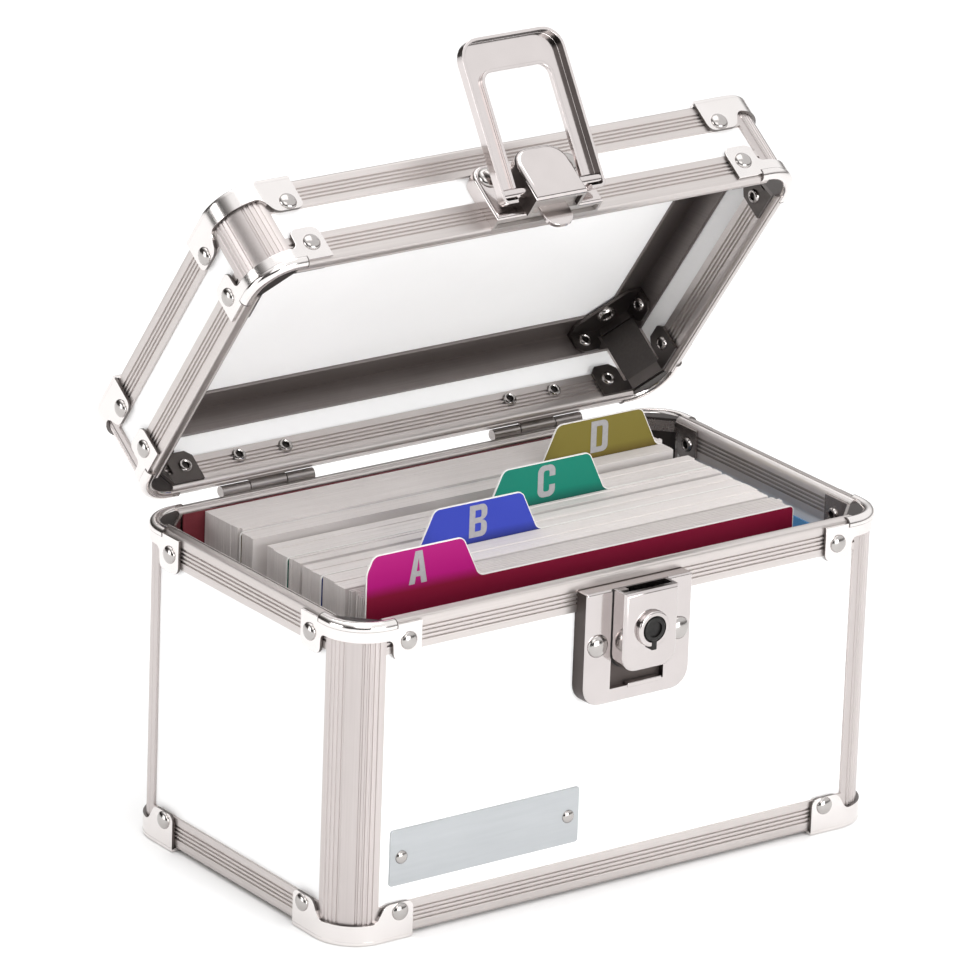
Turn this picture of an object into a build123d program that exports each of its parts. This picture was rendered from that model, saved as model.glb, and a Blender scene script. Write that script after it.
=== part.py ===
"""Locking index card box: aluminium rails round white panels, stamped corners, key lock and ring handle.

Millimetres, +Z up, +X to the right and -Y to the front. The origin is on the standing surface under the
middle of the box. The lid is drawn closed and then turned open on its hinges, with the ring lying back.
"""
import os
from math import cos, radians, sin, sqrt

from build123d import *

os.makedirs("parts", exist_ok=True)

# Box sizes over the faces of the rails; its width comes from the cards
body_depth = 90.6
body_height = 80.5
lid_height = 24.5
rim_gap = 0.3
lid_open_angle = 54.7

# Rails, posts and panels
rail_wall = 0.75
panel_thick = 2.0
rim_leg = 8.4
rim_web = 1.0
rim_edge_radius = 0.7
edge_leg = 8.2
edge_radius = 1.2
post_radius = 10.1
post_slot = 2.4
slot_end_gap = 0.2
leg_gap = 0.2
groove_count = 3
groove_pitch = 1.2
groove_width = 0.5
groove_depth = 0.25
rim_groove_centre = 4.2
edge_groove_centre = 4.8
post_groove_first = 10.0
post_groove_step = 7.0

# Stamped corner caps outside and brackets inside
cap_sheet = 0.8
cap_seat = 0.05
cap_arm = 19.6
cap_ear_start = 11.6
cap_ear_corner = 1.6
rim_cap_band = 4.8
rim_cap_ear = 10.0
edge_cap_band = 4.4
edge_cap_ear = 8.8
cap_flange = 15.0
cap_flange_corner = 7.0
bracket_sheet = 0.8
bracket_arm = 19.2
bracket_start = 1.2
bracket_band = 4.0
bracket_ear = 9.8
bracket_flange_lip = 4.0

# Rivets, each a low head outside and a clinched tail inside
rivet_inset = 15.8
rim_rivet = 5.6
edge_rivet = 6.5
rivet_sides = 8
rivet_tail_sides = 6
rivet_taper = 38.0
rivet_head = 2.3
rivet_head_height = 1.1
rivet_tail = 1.9
rivet_tail_height = 0.5
top_rivet_inset = 11.2
top_rivet_head = 2.6
plate_rivet_head = 2.9
plate_rivet_height = 1.5
name_rivet_head = 1.7
name_rivet_height = 0.6

# Hinges
hinge_width = 27.0
hinge_end_room = 25.25
hinge_sheet = 0.6
hinge_leaf = 8.2
hinge_offset = 1.45
hinge_barrel = 1.35
hinge_pin = 0.7
hinge_pin_fit = 0.05
hinge_knuckle = 8.0
hinge_knuckle_gap = 0.3
hinge_swing_gap = 0.3
hinge_rivet_spread = 6.8
hinge_rivet = 6.0

# Lock on the body
latch_x = 1.4
plate_sheet = 0.8
plate_proud = 3.9
lock_plate_width = 31.3
lock_plate_height = 28.9
lock_plate_drop = 3.0
lock_plate_corner = 5.0
lock_rivet_spread = 12.0
lock_rivet_drop = 16.5
lock_case_width = 15.8
lock_case_height = 20.1
lock_case_drop = 2.9
lock_case_proud = 9.0
lock_case_corner = 4.0
lock_case_edge = 0.9
lock_collar = 4.6
lock_collar_proud = 10.2
lock_collar_edge = 0.3
lock_window_height = 4.8
lock_window_gap = 0.5
plug_radius = 3.0
plug_fit = 0.05
plug_drop = 12.5
plug_proud = 10.5
keyway_width = 0.9
keyway_length = 4.2
keyway_depth = 3.0
cam_throw = 1.9
cam_pin = 0.7
cam_fit = 0.15
cam_swing = 90.0
bolt_sheet = 0.8
bolt_play = 0.4
bolt_margin = 2.5
bolt_nose_width = 2.3
bolt_nose_height = 1.0

# Hasp and ring handle on the lid
latch_plate_width = 31.0
latch_plate_height = 16.0
latch_plate_corner = 4.0
latch_plate_gap = 0.2
latch_rivet_spread = 11.5
latch_rivet_rise = 12.2
hood_width = 15.0
hood_height = 15.0
hood_drop = 0.5
hood_proud = 10.7
hood_sheet = 0.8
hood_corner = 5.0
hood_edge = 1.2
tongue_width = 8.0
tongue_reach = 5.4
tongue_corner = 3.2
tongue_sheet = 1.0
tongue_back_gap = 0.3
tongue_notch_play = 0.25
ring_pivot_proud = 7.6
ring_pivot_rise = 3.9
ring_rod = 1.4
ring_rod_fit = 0.05
ring_width = 30.0
ring_opening = 19.2
ring_reach = 38.4
ring_opening_reach = 29.8
ring_heel = 2.4
ring_corner = 5.5
ring_heel_corner = 1.5
ring_channel = 3.0
ring_sheet = 0.8
ring_raised_angle = 157.3

# Name plate
name_plate_width = 55.0
name_plate_height = 14.2
name_plate_inset = 13.25
name_plate_z = 20.6
name_plate_sheet = 0.5
name_plate_corner = 1.0
name_rivet_inset = 3.2

# Cards and guides
card_width = 127.0
card_height = 76.2
card_side_room = 12.25
card_x = 0.3
deck_front_room = 14.0
deck_rear_room = 2.6
guide_sheet = 0.4
guide_gap = 0.3
tab_rise = 10.5
tab_width = 25.8
tab_slope = 5.0
tab_corner = 1.6
tab_first = 2.0
tab_pitch = 30.6
guide_shares = {"a": 0.0, "b": 0.276, "c": 0.488, "d": 0.782}
pack_shares = [
    (0.0, 0.048),
    (0.125, 0.276),
    (0.276, 0.4),
    (0.418, 0.488),
    (0.488, 0.633),
    (0.697, 0.782),
    (0.782, 1.0),
]
rear_guide_gap = 0.2
rear_guide_left = 6.0
slip_front_gap = 1.1
slip_rear_gap = 5.1
slip_height = 66.0

# Places worked out from the sizes above
rail_thick = panel_thick + 2 * rail_wall
body_width = card_width + 2 * (rail_thick + card_side_room)
half_width = body_width / 2
half_depth = body_depth / 2
name_plate_x = name_plate_inset + name_plate_width / 2 - half_width
deck_front = deck_front_room + rail_thick - half_depth
deck_depth = half_depth - rail_thick - deck_rear_room - deck_front
slip_front = bracket_arm + slip_front_gap - half_depth
slip_rear = half_depth - bracket_arm - slip_rear_gap
inner_leg_end = post_radius - leg_gap
base_z = cap_sheet
rim_z = base_z + body_height
lid_rim_z = rim_z + rim_gap
lid_top_z = lid_rim_z + lid_height
hinge_spread = half_width - hinge_end_room - hinge_width / 2
hinge_y = half_depth + hinge_offset
hinge_z = rim_z + rim_gap / 2
hinge_axis = Axis((0, hinge_y, hinge_z), (1, 0, 0))
front = Plane.XZ.offset(half_depth)
floor_z = base_z + rail_wall + panel_thick
ledge_z = base_z + rail_thick
walls = {
    "front": (body_width, Location((0, -half_depth, 0))),
    "rear": (body_width, Location((0, half_depth, 0), (0, 0, 180))),
    "left": (body_depth, Location((-half_width, 0, 0), (0, 0, -90))),
    "right": (body_depth, Location((half_width, 0, 0), (0, 0, 90))),
}
front_left = Location((-half_width, -half_depth, 0))


# Ways of placing a piece
def at_body_rim(piece):
    return Location((0, 0, rim_z)) * piece.mirror(Plane.XY)


def at_body_base(piece):
    return Location((0, 0, base_z)) * piece


def at_lid_rim(piece):
    return Location((0, 0, lid_rim_z)) * piece


def at_lid_top(piece):
    return Location((0, 0, lid_top_z)) * piece.mirror(Plane.XY)


def open_lid(piece):
    return piece.rotate(hinge_axis, -lid_open_angle)


def four_corners(piece):
    """The piece made at the front left corner, mirrored to all four corners."""
    with BuildPart() as corners:
        add(front_left * piece)
        mirror(about=Plane.YZ)
        mirror(about=Plane.XZ)
    return corners.part


def save(piece, name):
    piece.label = name
    export_step(piece, f"parts/{name}.step")


def drill(plane, points, radius, reach):
    """Cuts round holes through the part being built, to both sides of a plane."""
    with BuildSketch(plane) as holes:
        with Locations(*points):
            Circle(radius)
    extrude(holes.sketch, amount=reach, both=True, mode=Mode.SUBTRACT)


def end_spots(length, rise):
    """Where the corner rivets of a wall go, along the wall and up it."""
    return [(side * (length / 2 - rivet_inset), rise) for side in (-1, 1)]


hinge_spots = [
    (centre + side * hinge_rivet_spread, hinge_rivet)
    for centre in (-hinge_spread, hinge_spread)
    for side in (-1, 1)
]


# Extrusions: the wall runs along X, its outer face is y = 0 and inward is +Y
def rim_rail(length):
    """U-shaped rail over a wall's open edge, the rim at z = 0 and the legs upwards."""
    run = length - 2 * post_radius
    with BuildPart() as rail:
        with BuildSketch(Plane.YZ.offset(-run / 2)):
            with BuildLine():
                Polyline(
                    (0, 0),
                    (rail_thick, 0),
                    (rail_thick, rim_leg),
                    (rail_thick - rail_wall, rim_leg),
                    (rail_thick - rail_wall, rim_web),
                    (rail_wall, rim_web),
                    (rail_wall, rim_leg),
                    (0, rim_leg),
                    close=True,
                )
            make_face()
            fillet(vertices().sort_by(Axis.Y)[:2], rim_edge_radius)
            with Locations((0, rim_groove_centre), (rail_thick, rim_groove_centre)):
                with GridLocations(0, groove_pitch, 1, groove_count):
                    Rectangle(2 * groove_depth, groove_width, mode=Mode.SUBTRACT)
        extrude(amount=run)
    return rail.part


def edge_rail(length):
    """Corner rail where a wall meets the floor or the lid's top, with a slot for each panel."""
    run = length - 2 * post_radius
    slot_inner = rail_wall + panel_thick
    with BuildPart() as rail:
        with BuildSketch(Plane.YZ.offset(-run / 2)):
            with BuildLine():
                Polyline(
                    (0, 0),
                    (edge_leg, 0),
                    (edge_leg, rail_wall),
                    (rail_thick, rail_wall),
                    (rail_thick, slot_inner),
                    (inner_leg_end, slot_inner),
                    (inner_leg_end, rail_thick),
                    (rail_thick, rail_thick),
                    (rail_thick, inner_leg_end),
                    (slot_inner, inner_leg_end),
                    (slot_inner, rail_thick),
                    (rail_wall, rail_thick),
                    (rail_wall, edge_leg),
                    (0, edge_leg),
                    close=True,
                )
            make_face()
            fillet(vertices().sort_by_distance((0, 0))[0], edge_radius)
            with Locations((0, edge_groove_centre)):
                with GridLocations(0, groove_pitch, 1, groove_count):
                    Rectangle(2 * groove_depth, groove_width, mode=Mode.SUBTRACT)
            with Locations((edge_groove_centre, 0)):
                with GridLocations(groove_pitch, 0, groove_count, 1):
                    Rectangle(groove_width, 2 * groove_depth, mode=Mode.SUBTRACT)
        extrude(amount=run)
    return rail.part


def post(height):
    """Quarter-round corner post with a slot for each panel and a flat inner face, corner at the origin."""
    slot_middle = rail_wall + panel_thick / 2
    slot_centre = post_radius - post_slot / 2
    knee = post_radius * (1 - cos(radians(45)))
    with BuildPart() as built:
        with BuildSketch():
            with BuildLine():
                ThreePointArc((0, post_radius), (knee, knee), (post_radius, 0))
                Polyline(
                    (post_radius, 0),
                    (post_radius, rail_thick),
                    (rail_thick, post_radius),
                    (0, post_radius),
                )
            make_face()
            with Locations((slot_centre, slot_middle)):
                Rectangle(post_slot, panel_thick, mode=Mode.SUBTRACT)
            with Locations((slot_middle, slot_centre)):
                Rectangle(panel_thick, post_slot, mode=Mode.SUBTRACT)
            span = (groove_count - 1) * post_groove_step
            with Locations((post_radius, post_radius)):
                for first in (180 + post_groove_first, 270 - post_groove_first - span):
                    with PolarLocations(post_radius, groove_count, first, span, endpoint=True):
                        Rectangle(2 * groove_depth, groove_width, mode=Mode.SUBTRACT)
        extrude(amount=height)
    return built.part


def wall_panel(length, height):
    """Board between two posts, its lower edge in the corner rail and its upper edge in the rim rail."""
    board_width = length - 2 * (post_radius - post_slot + slot_end_gap)
    board_height = height - rail_thick - rim_web
    with BuildPart() as board:
        with BuildSketch(Plane.XZ.offset(-rail_wall)):
            with Locations((0, rail_thick + board_height / 2)):
                Rectangle(board_width, board_height)
        extrude(amount=-panel_thick)
    return board.part


def flat_panel():
    """Floor or lid top board, its corners cut off clear of the posts."""
    corner_cut = post_radius - rail_thick + slot_end_gap
    with BuildPart() as board:
        with BuildSketch(Plane.XY.offset(rail_wall)):
            Rectangle(body_width - 2 * rail_thick, body_depth - 2 * rail_thick)
            chamfer(vertices(), corner_cut)
        extrude(amount=panel_thick)
    return board.part


# Stamped corners, made with the box's virtual corner at the origin
corner_mirror = Plane(origin=(0, 0, 0), x_dir=(0, 0, 1), z_dir=(1, -1, 0))
cap_face = cap_seat + cap_sheet
cap_round = post_radius + cap_face
knee_out = post_radius - cap_round * cos(radians(45))
knee_in = post_radius - (post_radius + cap_seat) * cos(radians(45))


def cap_ears(ear, band):
    """The band round a corner's outside and one ear on each wall."""
    with BuildPart() as cap:
        with BuildSketch():
            with BuildLine():
                Line((cap_arm, -cap_face), (post_radius, -cap_face))
                ThreePointArc((post_radius, -cap_face), (knee_out, knee_out), (-cap_face, post_radius))
                Polyline(
                    (-cap_face, post_radius),
                    (-cap_face, cap_arm),
                    (-cap_seat, cap_arm),
                    (-cap_seat, post_radius),
                )
                ThreePointArc((-cap_seat, post_radius), (knee_in, knee_in), (post_radius, -cap_seat))
                Polyline((post_radius, -cap_seat), (cap_arm, -cap_seat), (cap_arm, -cap_face))
            make_face()
        extrude(amount=band)
        with BuildSketch(Plane.XZ.offset(cap_seat)):
            with Locations(((cap_ear_start + cap_arm) / 2, ear / 2)):
                Rectangle(cap_arm - cap_ear_start, ear)
            chamfer(vertices().group_by(Axis.Y)[-1], cap_ear_corner)
        extrude(amount=cap_sheet)
        mirror(about=corner_mirror)
    return cap.part


def rim_cap():
    """Cap over a rim corner, with a lip that closes the post's end, the rim at z = 0."""
    with BuildPart() as cap:
        add(cap_ears(rim_cap_ear, rim_cap_band))
        with BuildSketch():
            with Locations((post_radius, post_radius)):
                Circle(cap_round)
                Circle(post_radius - rail_thick, mode=Mode.SUBTRACT)
                Rectangle(cap_round, cap_round, align=(Align.MAX, Align.MAX), mode=Mode.INTERSECT)
        extrude(amount=cap_sheet)
    return cap.part


def edge_cap():
    """Cap over a base or top corner, with a flange under the rails that is also the foot."""
    with BuildPart() as cap:
        add(cap_ears(edge_cap_ear, edge_cap_band))
        with BuildSketch(Plane.XY.offset(-cap_sheet)):
            with BuildLine():
                ThreePointArc((post_radius, -cap_face), (knee_out, knee_out), (-cap_face, post_radius))
                Polyline(
                    (-cap_face, post_radius),
                    (-cap_face, cap_flange),
                    (cap_flange - cap_flange_corner, cap_flange),
                    (cap_flange, cap_flange - cap_flange_corner),
                    (cap_flange, -cap_face),
                    (post_radius, -cap_face),
                )
            make_face()
        extrude(amount=cap_sheet)
    return cap.part


def bracket(start, band, ear, flange):
    """Strip bent round the inside of a corner, with an ear on each wall and, on the lid's top, a flange."""
    bend = post_radius + bracket_sheet * (sqrt(2) - 1)
    face = rail_thick + bracket_sheet
    with BuildPart() as strip:
        with BuildSketch(Plane.XY.offset(start)):
            with BuildLine():
                Polyline(
                    (bracket_arm, rail_thick),
                    (post_radius, rail_thick),
                    (rail_thick, post_radius),
                    (rail_thick, bracket_arm),
                    (face, bracket_arm),
                    (face, bend),
                    (bend, face),
                    (bracket_arm, face),
                    close=True,
                )
            make_face()
        extrude(amount=band - start)
        with BuildSketch(Plane.XZ.offset(-rail_thick)):
            with Locations(((cap_ear_start + bracket_arm) / 2, (start + ear) / 2)):
                Rectangle(bracket_arm - cap_ear_start, ear - start)
            chamfer(vertices().group_by(Axis.Y)[-1], cap_ear_corner)
        extrude(amount=-bracket_sheet)
        mirror(about=corner_mirror)
        if flange:
            lip = rail_thick + bracket_flange_lip
            with BuildSketch(Plane.XY.offset(start)):
                with BuildLine():
                    Polyline(
                        (post_radius, rail_thick),
                        (rail_thick, post_radius),
                        (rail_thick, bracket_arm),
                        (lip, bracket_arm),
                        (bracket_arm, lip),
                        (bracket_arm, rail_thick),
                        close=True,
                    )
                make_face()
            extrude(amount=bracket_sheet)
    return strip.part


def wall_rivets(spots, outer, inner, head, height):
    """Rivets set through a wall: heads on a face in front of the rail, tails on a face behind it."""
    with BuildPart() as row:
        with BuildSketch(Plane.XZ.offset(outer)):
            with Locations(*spots):
                RegularPolygon(head, rivet_sides)
        extrude(amount=height, taper=rivet_taper)
        with BuildSketch(Plane.XZ.offset(-inner)):
            with Locations(*spots):
                RegularPolygon(rivet_tail, rivet_tail_sides)
        extrude(amount=-rivet_tail_height)
    return row.part


def corner_rivets(rim_place, edge_place):
    """All rivets through the corners of the body or the lid."""
    inner = rail_thick + bracket_sheet
    with BuildPart() as group:
        for length, place in walls.values():
            for rise, put in ((rim_rivet, rim_place), (edge_rivet, edge_place)):
                spots = end_spots(length, rise)
                add(place * put(wall_rivets(spots, cap_face, inner, rivet_head, rivet_head_height)))
    return group.part


# Where the rivets of the front plates and of the lid's top go
lock_spots = [(latch_x + side * lock_rivet_spread, body_height - lock_rivet_drop) for side in (-1, 1)]
latch_spots = [(latch_x + side * latch_rivet_spread, latch_rivet_rise) for side in (-1, 1)]
name_spots = [
    (name_plate_x + side * (name_plate_width / 2 - name_rivet_inset), name_plate_z - base_z)
    for side in (-1, 1)
]
top_spots = [
    (along * (half_width - top_rivet_inset), across * (half_depth - top_rivet_inset))
    for along in (-1, 1)
    for across in (-1, 1)
]
panel_back = rail_wall + panel_thick

# Panels and rails of the four walls
for side, (length, place) in walls.items():
    save(place * at_body_base(wall_panel(length, body_height)), f"{side}_panel")
    save(place * at_body_base(edge_rail(length)), f"{side}_base_rail")
    save(place * at_body_rim(rim_rail(length)), f"{side}_rim_rail")
    save(open_lid(place * at_lid_top(wall_panel(length, lid_height))), f"lid_{side}_panel")
    save(open_lid(place * at_lid_top(edge_rail(length))), f"lid_{side}_top_rail")
    save(open_lid(place * at_lid_rim(rim_rail(length))), f"lid_{side}_rim_rail")

save(at_body_base(flat_panel()), "floor_panel")
save(open_lid(at_lid_top(flat_panel())), "lid_panel")

# Posts, caps, brackets and their rivets
save(at_body_base(four_corners(post(body_height - cap_sheet))), "body_posts")
save(open_lid(at_lid_top(four_corners(post(lid_height - cap_sheet)))), "lid_posts")
save(at_body_rim(four_corners(rim_cap())), "body_rim_caps")
save(open_lid(at_lid_rim(four_corners(rim_cap()))), "lid_rim_caps")
save(at_body_base(four_corners(edge_cap())), "body_base_caps")
save(open_lid(at_lid_top(four_corners(edge_cap()))), "lid_top_caps")

rim_bracket = bracket(bracket_start, bracket_band, bracket_ear, False)
base_bracket = bracket(rail_thick, rail_thick + bracket_band - bracket_start, bracket_ear, False)
top_bracket = bracket(rail_thick, rail_thick + bracket_band - bracket_start, bracket_ear, True)
save(at_body_rim(four_corners(rim_bracket)), "body_rim_brackets")
save(open_lid(at_lid_rim(four_corners(rim_bracket))), "lid_rim_brackets")
save(at_body_base(four_corners(base_bracket)), "body_base_brackets")
save(open_lid(at_lid_top(four_corners(top_bracket))), "lid_top_brackets")

rear_place = walls["rear"][1]
front_place = walls["front"][1]
hinge_row = wall_rivets(hinge_spots, hinge_sheet, rail_thick, rivet_head, rivet_head_height)
with BuildPart() as body_rivets:
    add(corner_rivets(at_body_rim, at_body_base))
    add(rear_place * at_body_rim(hinge_row))
save(body_rivets.part, "body_rivets")

with BuildPart() as top_rivets:
    with BuildSketch(Plane.XY.offset(rail_thick + bracket_sheet)):
        with Locations(*top_spots):
            RegularPolygon(top_rivet_head, rivet_sides)
    extrude(amount=rivet_head_height, taper=rivet_taper)
with BuildPart() as lid_rivets:
    add(corner_rivets(at_lid_rim, at_lid_top))
    add(rear_place * at_lid_rim(hinge_row))
    add(at_lid_top(top_rivets.part))
save(open_lid(lid_rivets.part), "lid_rivets")

# Hinges: made on the rear wall with the rim at z = 0, the leaf upwards and the barrel just past the rim
barrel_y = -hinge_offset
barrel_z = -rim_gap / 2
leaf_foot = barrel_z + hinge_barrel + hinge_swing_gap
middle_knuckle = hinge_width - 2 * hinge_knuckle - 2 * hinge_knuckle_gap
outer_centre = (hinge_width - hinge_knuckle) / 2
hinge_places = [(-hinge_spread, 0, 0), (hinge_spread, 0, 0)]


def leaf(knuckles, knuckle_length):
    """One hinge leaf with its knuckles rolled round the pin."""
    with BuildPart() as built:
        with BuildSketch(Plane.XZ):
            with Locations((0, (leaf_foot + hinge_leaf) / 2)):
                Rectangle(hinge_width, hinge_leaf - leaf_foot)
            with Locations(*[(centre, (barrel_z + leaf_foot) / 2) for centre in knuckles]):
                Rectangle(knuckle_length, leaf_foot - barrel_z)
        extrude(amount=hinge_sheet)
        for centre in knuckles:
            with BuildSketch(Plane.YZ.offset(centre - knuckle_length / 2)):
                with Locations((barrel_y, barrel_z)):
                    Circle(hinge_barrel)
            extrude(amount=knuckle_length)
        drill(Plane.YZ, [(barrel_y, barrel_z)], hinge_pin + hinge_pin_fit, hinge_width)
    return built.part


with BuildPart() as lower_leaves:
    with Locations(*hinge_places):
        add(leaf([-outer_centre, outer_centre], hinge_knuckle))
save(rear_place * at_body_rim(lower_leaves.part), "hinge_lower_leaves")

with BuildPart() as upper_leaves:
    with Locations(*hinge_places):
        add(leaf([0], middle_knuckle))
save(open_lid(rear_place * at_lid_rim(upper_leaves.part)), "hinge_upper_leaves")

with BuildPart() as hinge_pins:
    for x, y, z in hinge_places:
        with BuildSketch(Plane.YZ.offset(x - hinge_width / 2)):
            with Locations((hinge_y, hinge_z)):
                Circle(hinge_pin)
        extrude(amount=hinge_width)
save(hinge_pins.part, "hinge_pins")

# Lock: a pan-shaped plate on the front, a case over it, a key plug and a sliding bolt
case_top = rim_z - lock_case_drop
case_bottom = case_top - lock_case_height
plug_z = rim_z - plug_drop
cam_side = cam_throw * sin(radians(cam_swing / 2))
cam_rise = cam_throw * cos(radians(cam_swing / 2))
bolt_travel = 2 * cam_side
bolt_front = plate_proud - plate_sheet - bolt_play
bolt_back = bolt_front - bolt_sheet
tongue_back = plate_proud + tongue_back_gap
tongue_front = tongue_back + tongue_sheet
nose_top = case_top - bolt_play / 2
nose_bottom = nose_top - bolt_nose_height
nose_right = latch_x - tongue_width / 2 - bolt_play
nose_left = nose_right - bolt_nose_width
slot_x = latch_x - cam_side


def pan(width, height, centre_z, top_corner, foot_corner):
    """Shallow pressed pan on the front wall, open at the back, its rim against the panel."""
    depth = plate_proud + rail_wall
    with BuildPart() as pressed:
        for inset, mode in ((0, Mode.ADD), (plate_sheet, Mode.SUBTRACT)):
            with BuildSketch(front.offset(-rail_wall)):
                with Locations((latch_x, centre_z)):
                    Rectangle(width - 2 * inset, height - 2 * inset)
                if top_corner > inset:
                    fillet(vertices().group_by(Axis.Y)[-1], top_corner - inset)
                if foot_corner > inset:
                    fillet(vertices().group_by(Axis.Y)[0], foot_corner - inset)
            extrude(amount=depth - inset, mode=mode)
    return pressed.part


def cut_rail_seat(low, high, width):
    """Cuts the pan's rim back where it lies on a rail instead of the panel."""
    with BuildSketch(front) as seat:
        with Locations((latch_x, (low + high) / 2)):
            Rectangle(2 * width, high - low)
    extrude(seat.sketch, amount=-2 * rail_wall, mode=Mode.SUBTRACT)


lock_plate_top = rim_z - lock_plate_drop
with BuildPart() as lock_plate:
    add(pan(
        lock_plate_width, lock_plate_height, lock_plate_top - lock_plate_height / 2,
        0, lock_plate_corner,
    ))
    cut_rail_seat(rim_z - rim_leg - slot_end_gap, rim_z, lock_plate_width)
    with BuildSketch(front.offset(plate_proud)):
        with Locations((latch_x, case_bottom - lock_window_gap - lock_window_height / 2)):
            Rectangle(lock_case_width, lock_window_height)
    extrude(amount=-2 * plate_sheet, mode=Mode.SUBTRACT)
    notch_left = nose_left - bolt_play
    notch_right = nose_right + bolt_travel + bolt_play
    notch_bottom = nose_bottom - bolt_play
    with BuildSketch(front.offset(plate_proud)):
        with Locations(((notch_left + notch_right) / 2, (notch_bottom + rim_z) / 2)):
            Rectangle(notch_right - notch_left, rim_z - notch_bottom)
    extrude(amount=bolt_back - bolt_play - plate_proud, mode=Mode.SUBTRACT)
    drill(front, [(latch_x, plug_z)], plug_radius + plug_fit, 2 * plate_proud)
save(lock_plate.part, "lock_plate")

with BuildPart() as lock_case:
    with BuildSketch(front.offset(plate_proud)):
        with Locations((latch_x, case_bottom + lock_case_height / 2)):
            Rectangle(lock_case_width, lock_case_height)
        fillet(vertices().group_by(Axis.Y)[0], lock_case_corner)
    extrude(amount=lock_case_proud - plate_proud)
    front_edges = lock_case.faces().sort_by(Axis.Y)[0].edges().sort_by(Axis.Z)[:-1]
    chamfer(front_edges, lock_case_edge)
    with BuildSketch(front.offset(plate_proud)):
        with Locations((latch_x, case_bottom + plate_sheet)):
            Rectangle(lock_case_width - 2 * plate_sheet, lock_case_height, align=(Align.CENTER, Align.MIN))
        fillet(vertices().group_by(Axis.Y)[0], lock_case_corner - plate_sheet)
    extrude(amount=lock_case_proud - plate_proud - plate_sheet, mode=Mode.SUBTRACT)
    with BuildSketch(front.offset(lock_case_proud)):
        with Locations((latch_x, plug_z)):
            Circle(lock_collar)
    extrude(amount=lock_collar_proud - lock_case_proud)
    chamfer(lock_case.edges().filter_by(GeomType.CIRCLE).sort_by(Axis.Y)[0], lock_collar_edge)
    drill(front, [(latch_x, plug_z)], plug_radius + plug_fit, 2 * lock_collar_proud)
save(lock_case.part, "lock_case")

with BuildPart() as lock_plug:
    with BuildSketch(front.offset(plate_proud - plate_sheet)):
        with Locations((latch_x, plug_z)):
            Circle(plug_radius)
    extrude(amount=plug_proud - plate_proud + plate_sheet)
    with BuildSketch(front.offset(plug_proud)):
        with Locations((latch_x, plug_z)):
            Rectangle(keyway_width, keyway_length)
    extrude(amount=-keyway_depth, mode=Mode.SUBTRACT)
    with BuildSketch(front.offset(plate_proud - plate_sheet)):
        with Locations((slot_x, plug_z + cam_rise)):
            Circle(cam_pin)
    extrude(amount=bolt_back - cam_fit - plate_proud + plate_sheet)
save(lock_plug.part, "lock_plug")

with BuildPart() as lock_bolt:
    bolt_right = slot_x + bolt_margin
    bolt_bottom = plug_z - bolt_margin
    with BuildSketch(front.offset(bolt_back)):
        with Locations(((nose_left + bolt_right) / 2, (bolt_bottom + nose_bottom) / 2)):
            Rectangle(bolt_right - nose_left, nose_bottom - bolt_bottom)
        with Locations((slot_x, plug_z + (cam_rise + cam_throw) / 2)):
            SlotCenterToCenter(
                cam_throw - cam_rise, 2 * (cam_pin + cam_fit), rotation=90, mode=Mode.SUBTRACT,
            )
    extrude(amount=bolt_sheet)
    with BuildSketch(front.offset(bolt_back)):
        with Locations(((nose_left + nose_right) / 2, nose_bottom + bolt_nose_height / 2)):
            Rectangle(bolt_nose_width, bolt_nose_height)
        with Locations(((nose_left + nose_right) / 2, nose_bottom - bolt_nose_height / 2)):
            Rectangle(bolt_nose_width, bolt_nose_height)
    extrude(amount=bolt_sheet)
    with BuildSketch(front.offset(bolt_front)):
        with Locations(((nose_left + nose_right) / 2, nose_bottom + bolt_nose_height / 2)):
            Rectangle(bolt_nose_width, bolt_nose_height)
    extrude(amount=tongue_front - bolt_front)
save(lock_bolt.part, "lock_bolt")

lock_row = wall_rivets(lock_spots, plate_proud, panel_back, plate_rivet_head, plate_rivet_height)
save(front_place * at_body_base(lock_row), "lock_rivets")

# Hasp on the lid, drawn closed
latch_plate_foot = lid_rim_z + latch_plate_gap
with BuildPart() as latch_plate:
    add(pan(
        latch_plate_width, latch_plate_height, latch_plate_foot + latch_plate_height / 2,
        latch_plate_corner, 0,
    ))
    cut_rail_seat(lid_rim_z, lid_rim_z + rim_leg + slot_end_gap, latch_plate_width)
save(open_lid(latch_plate.part), "latch_plate")

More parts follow.
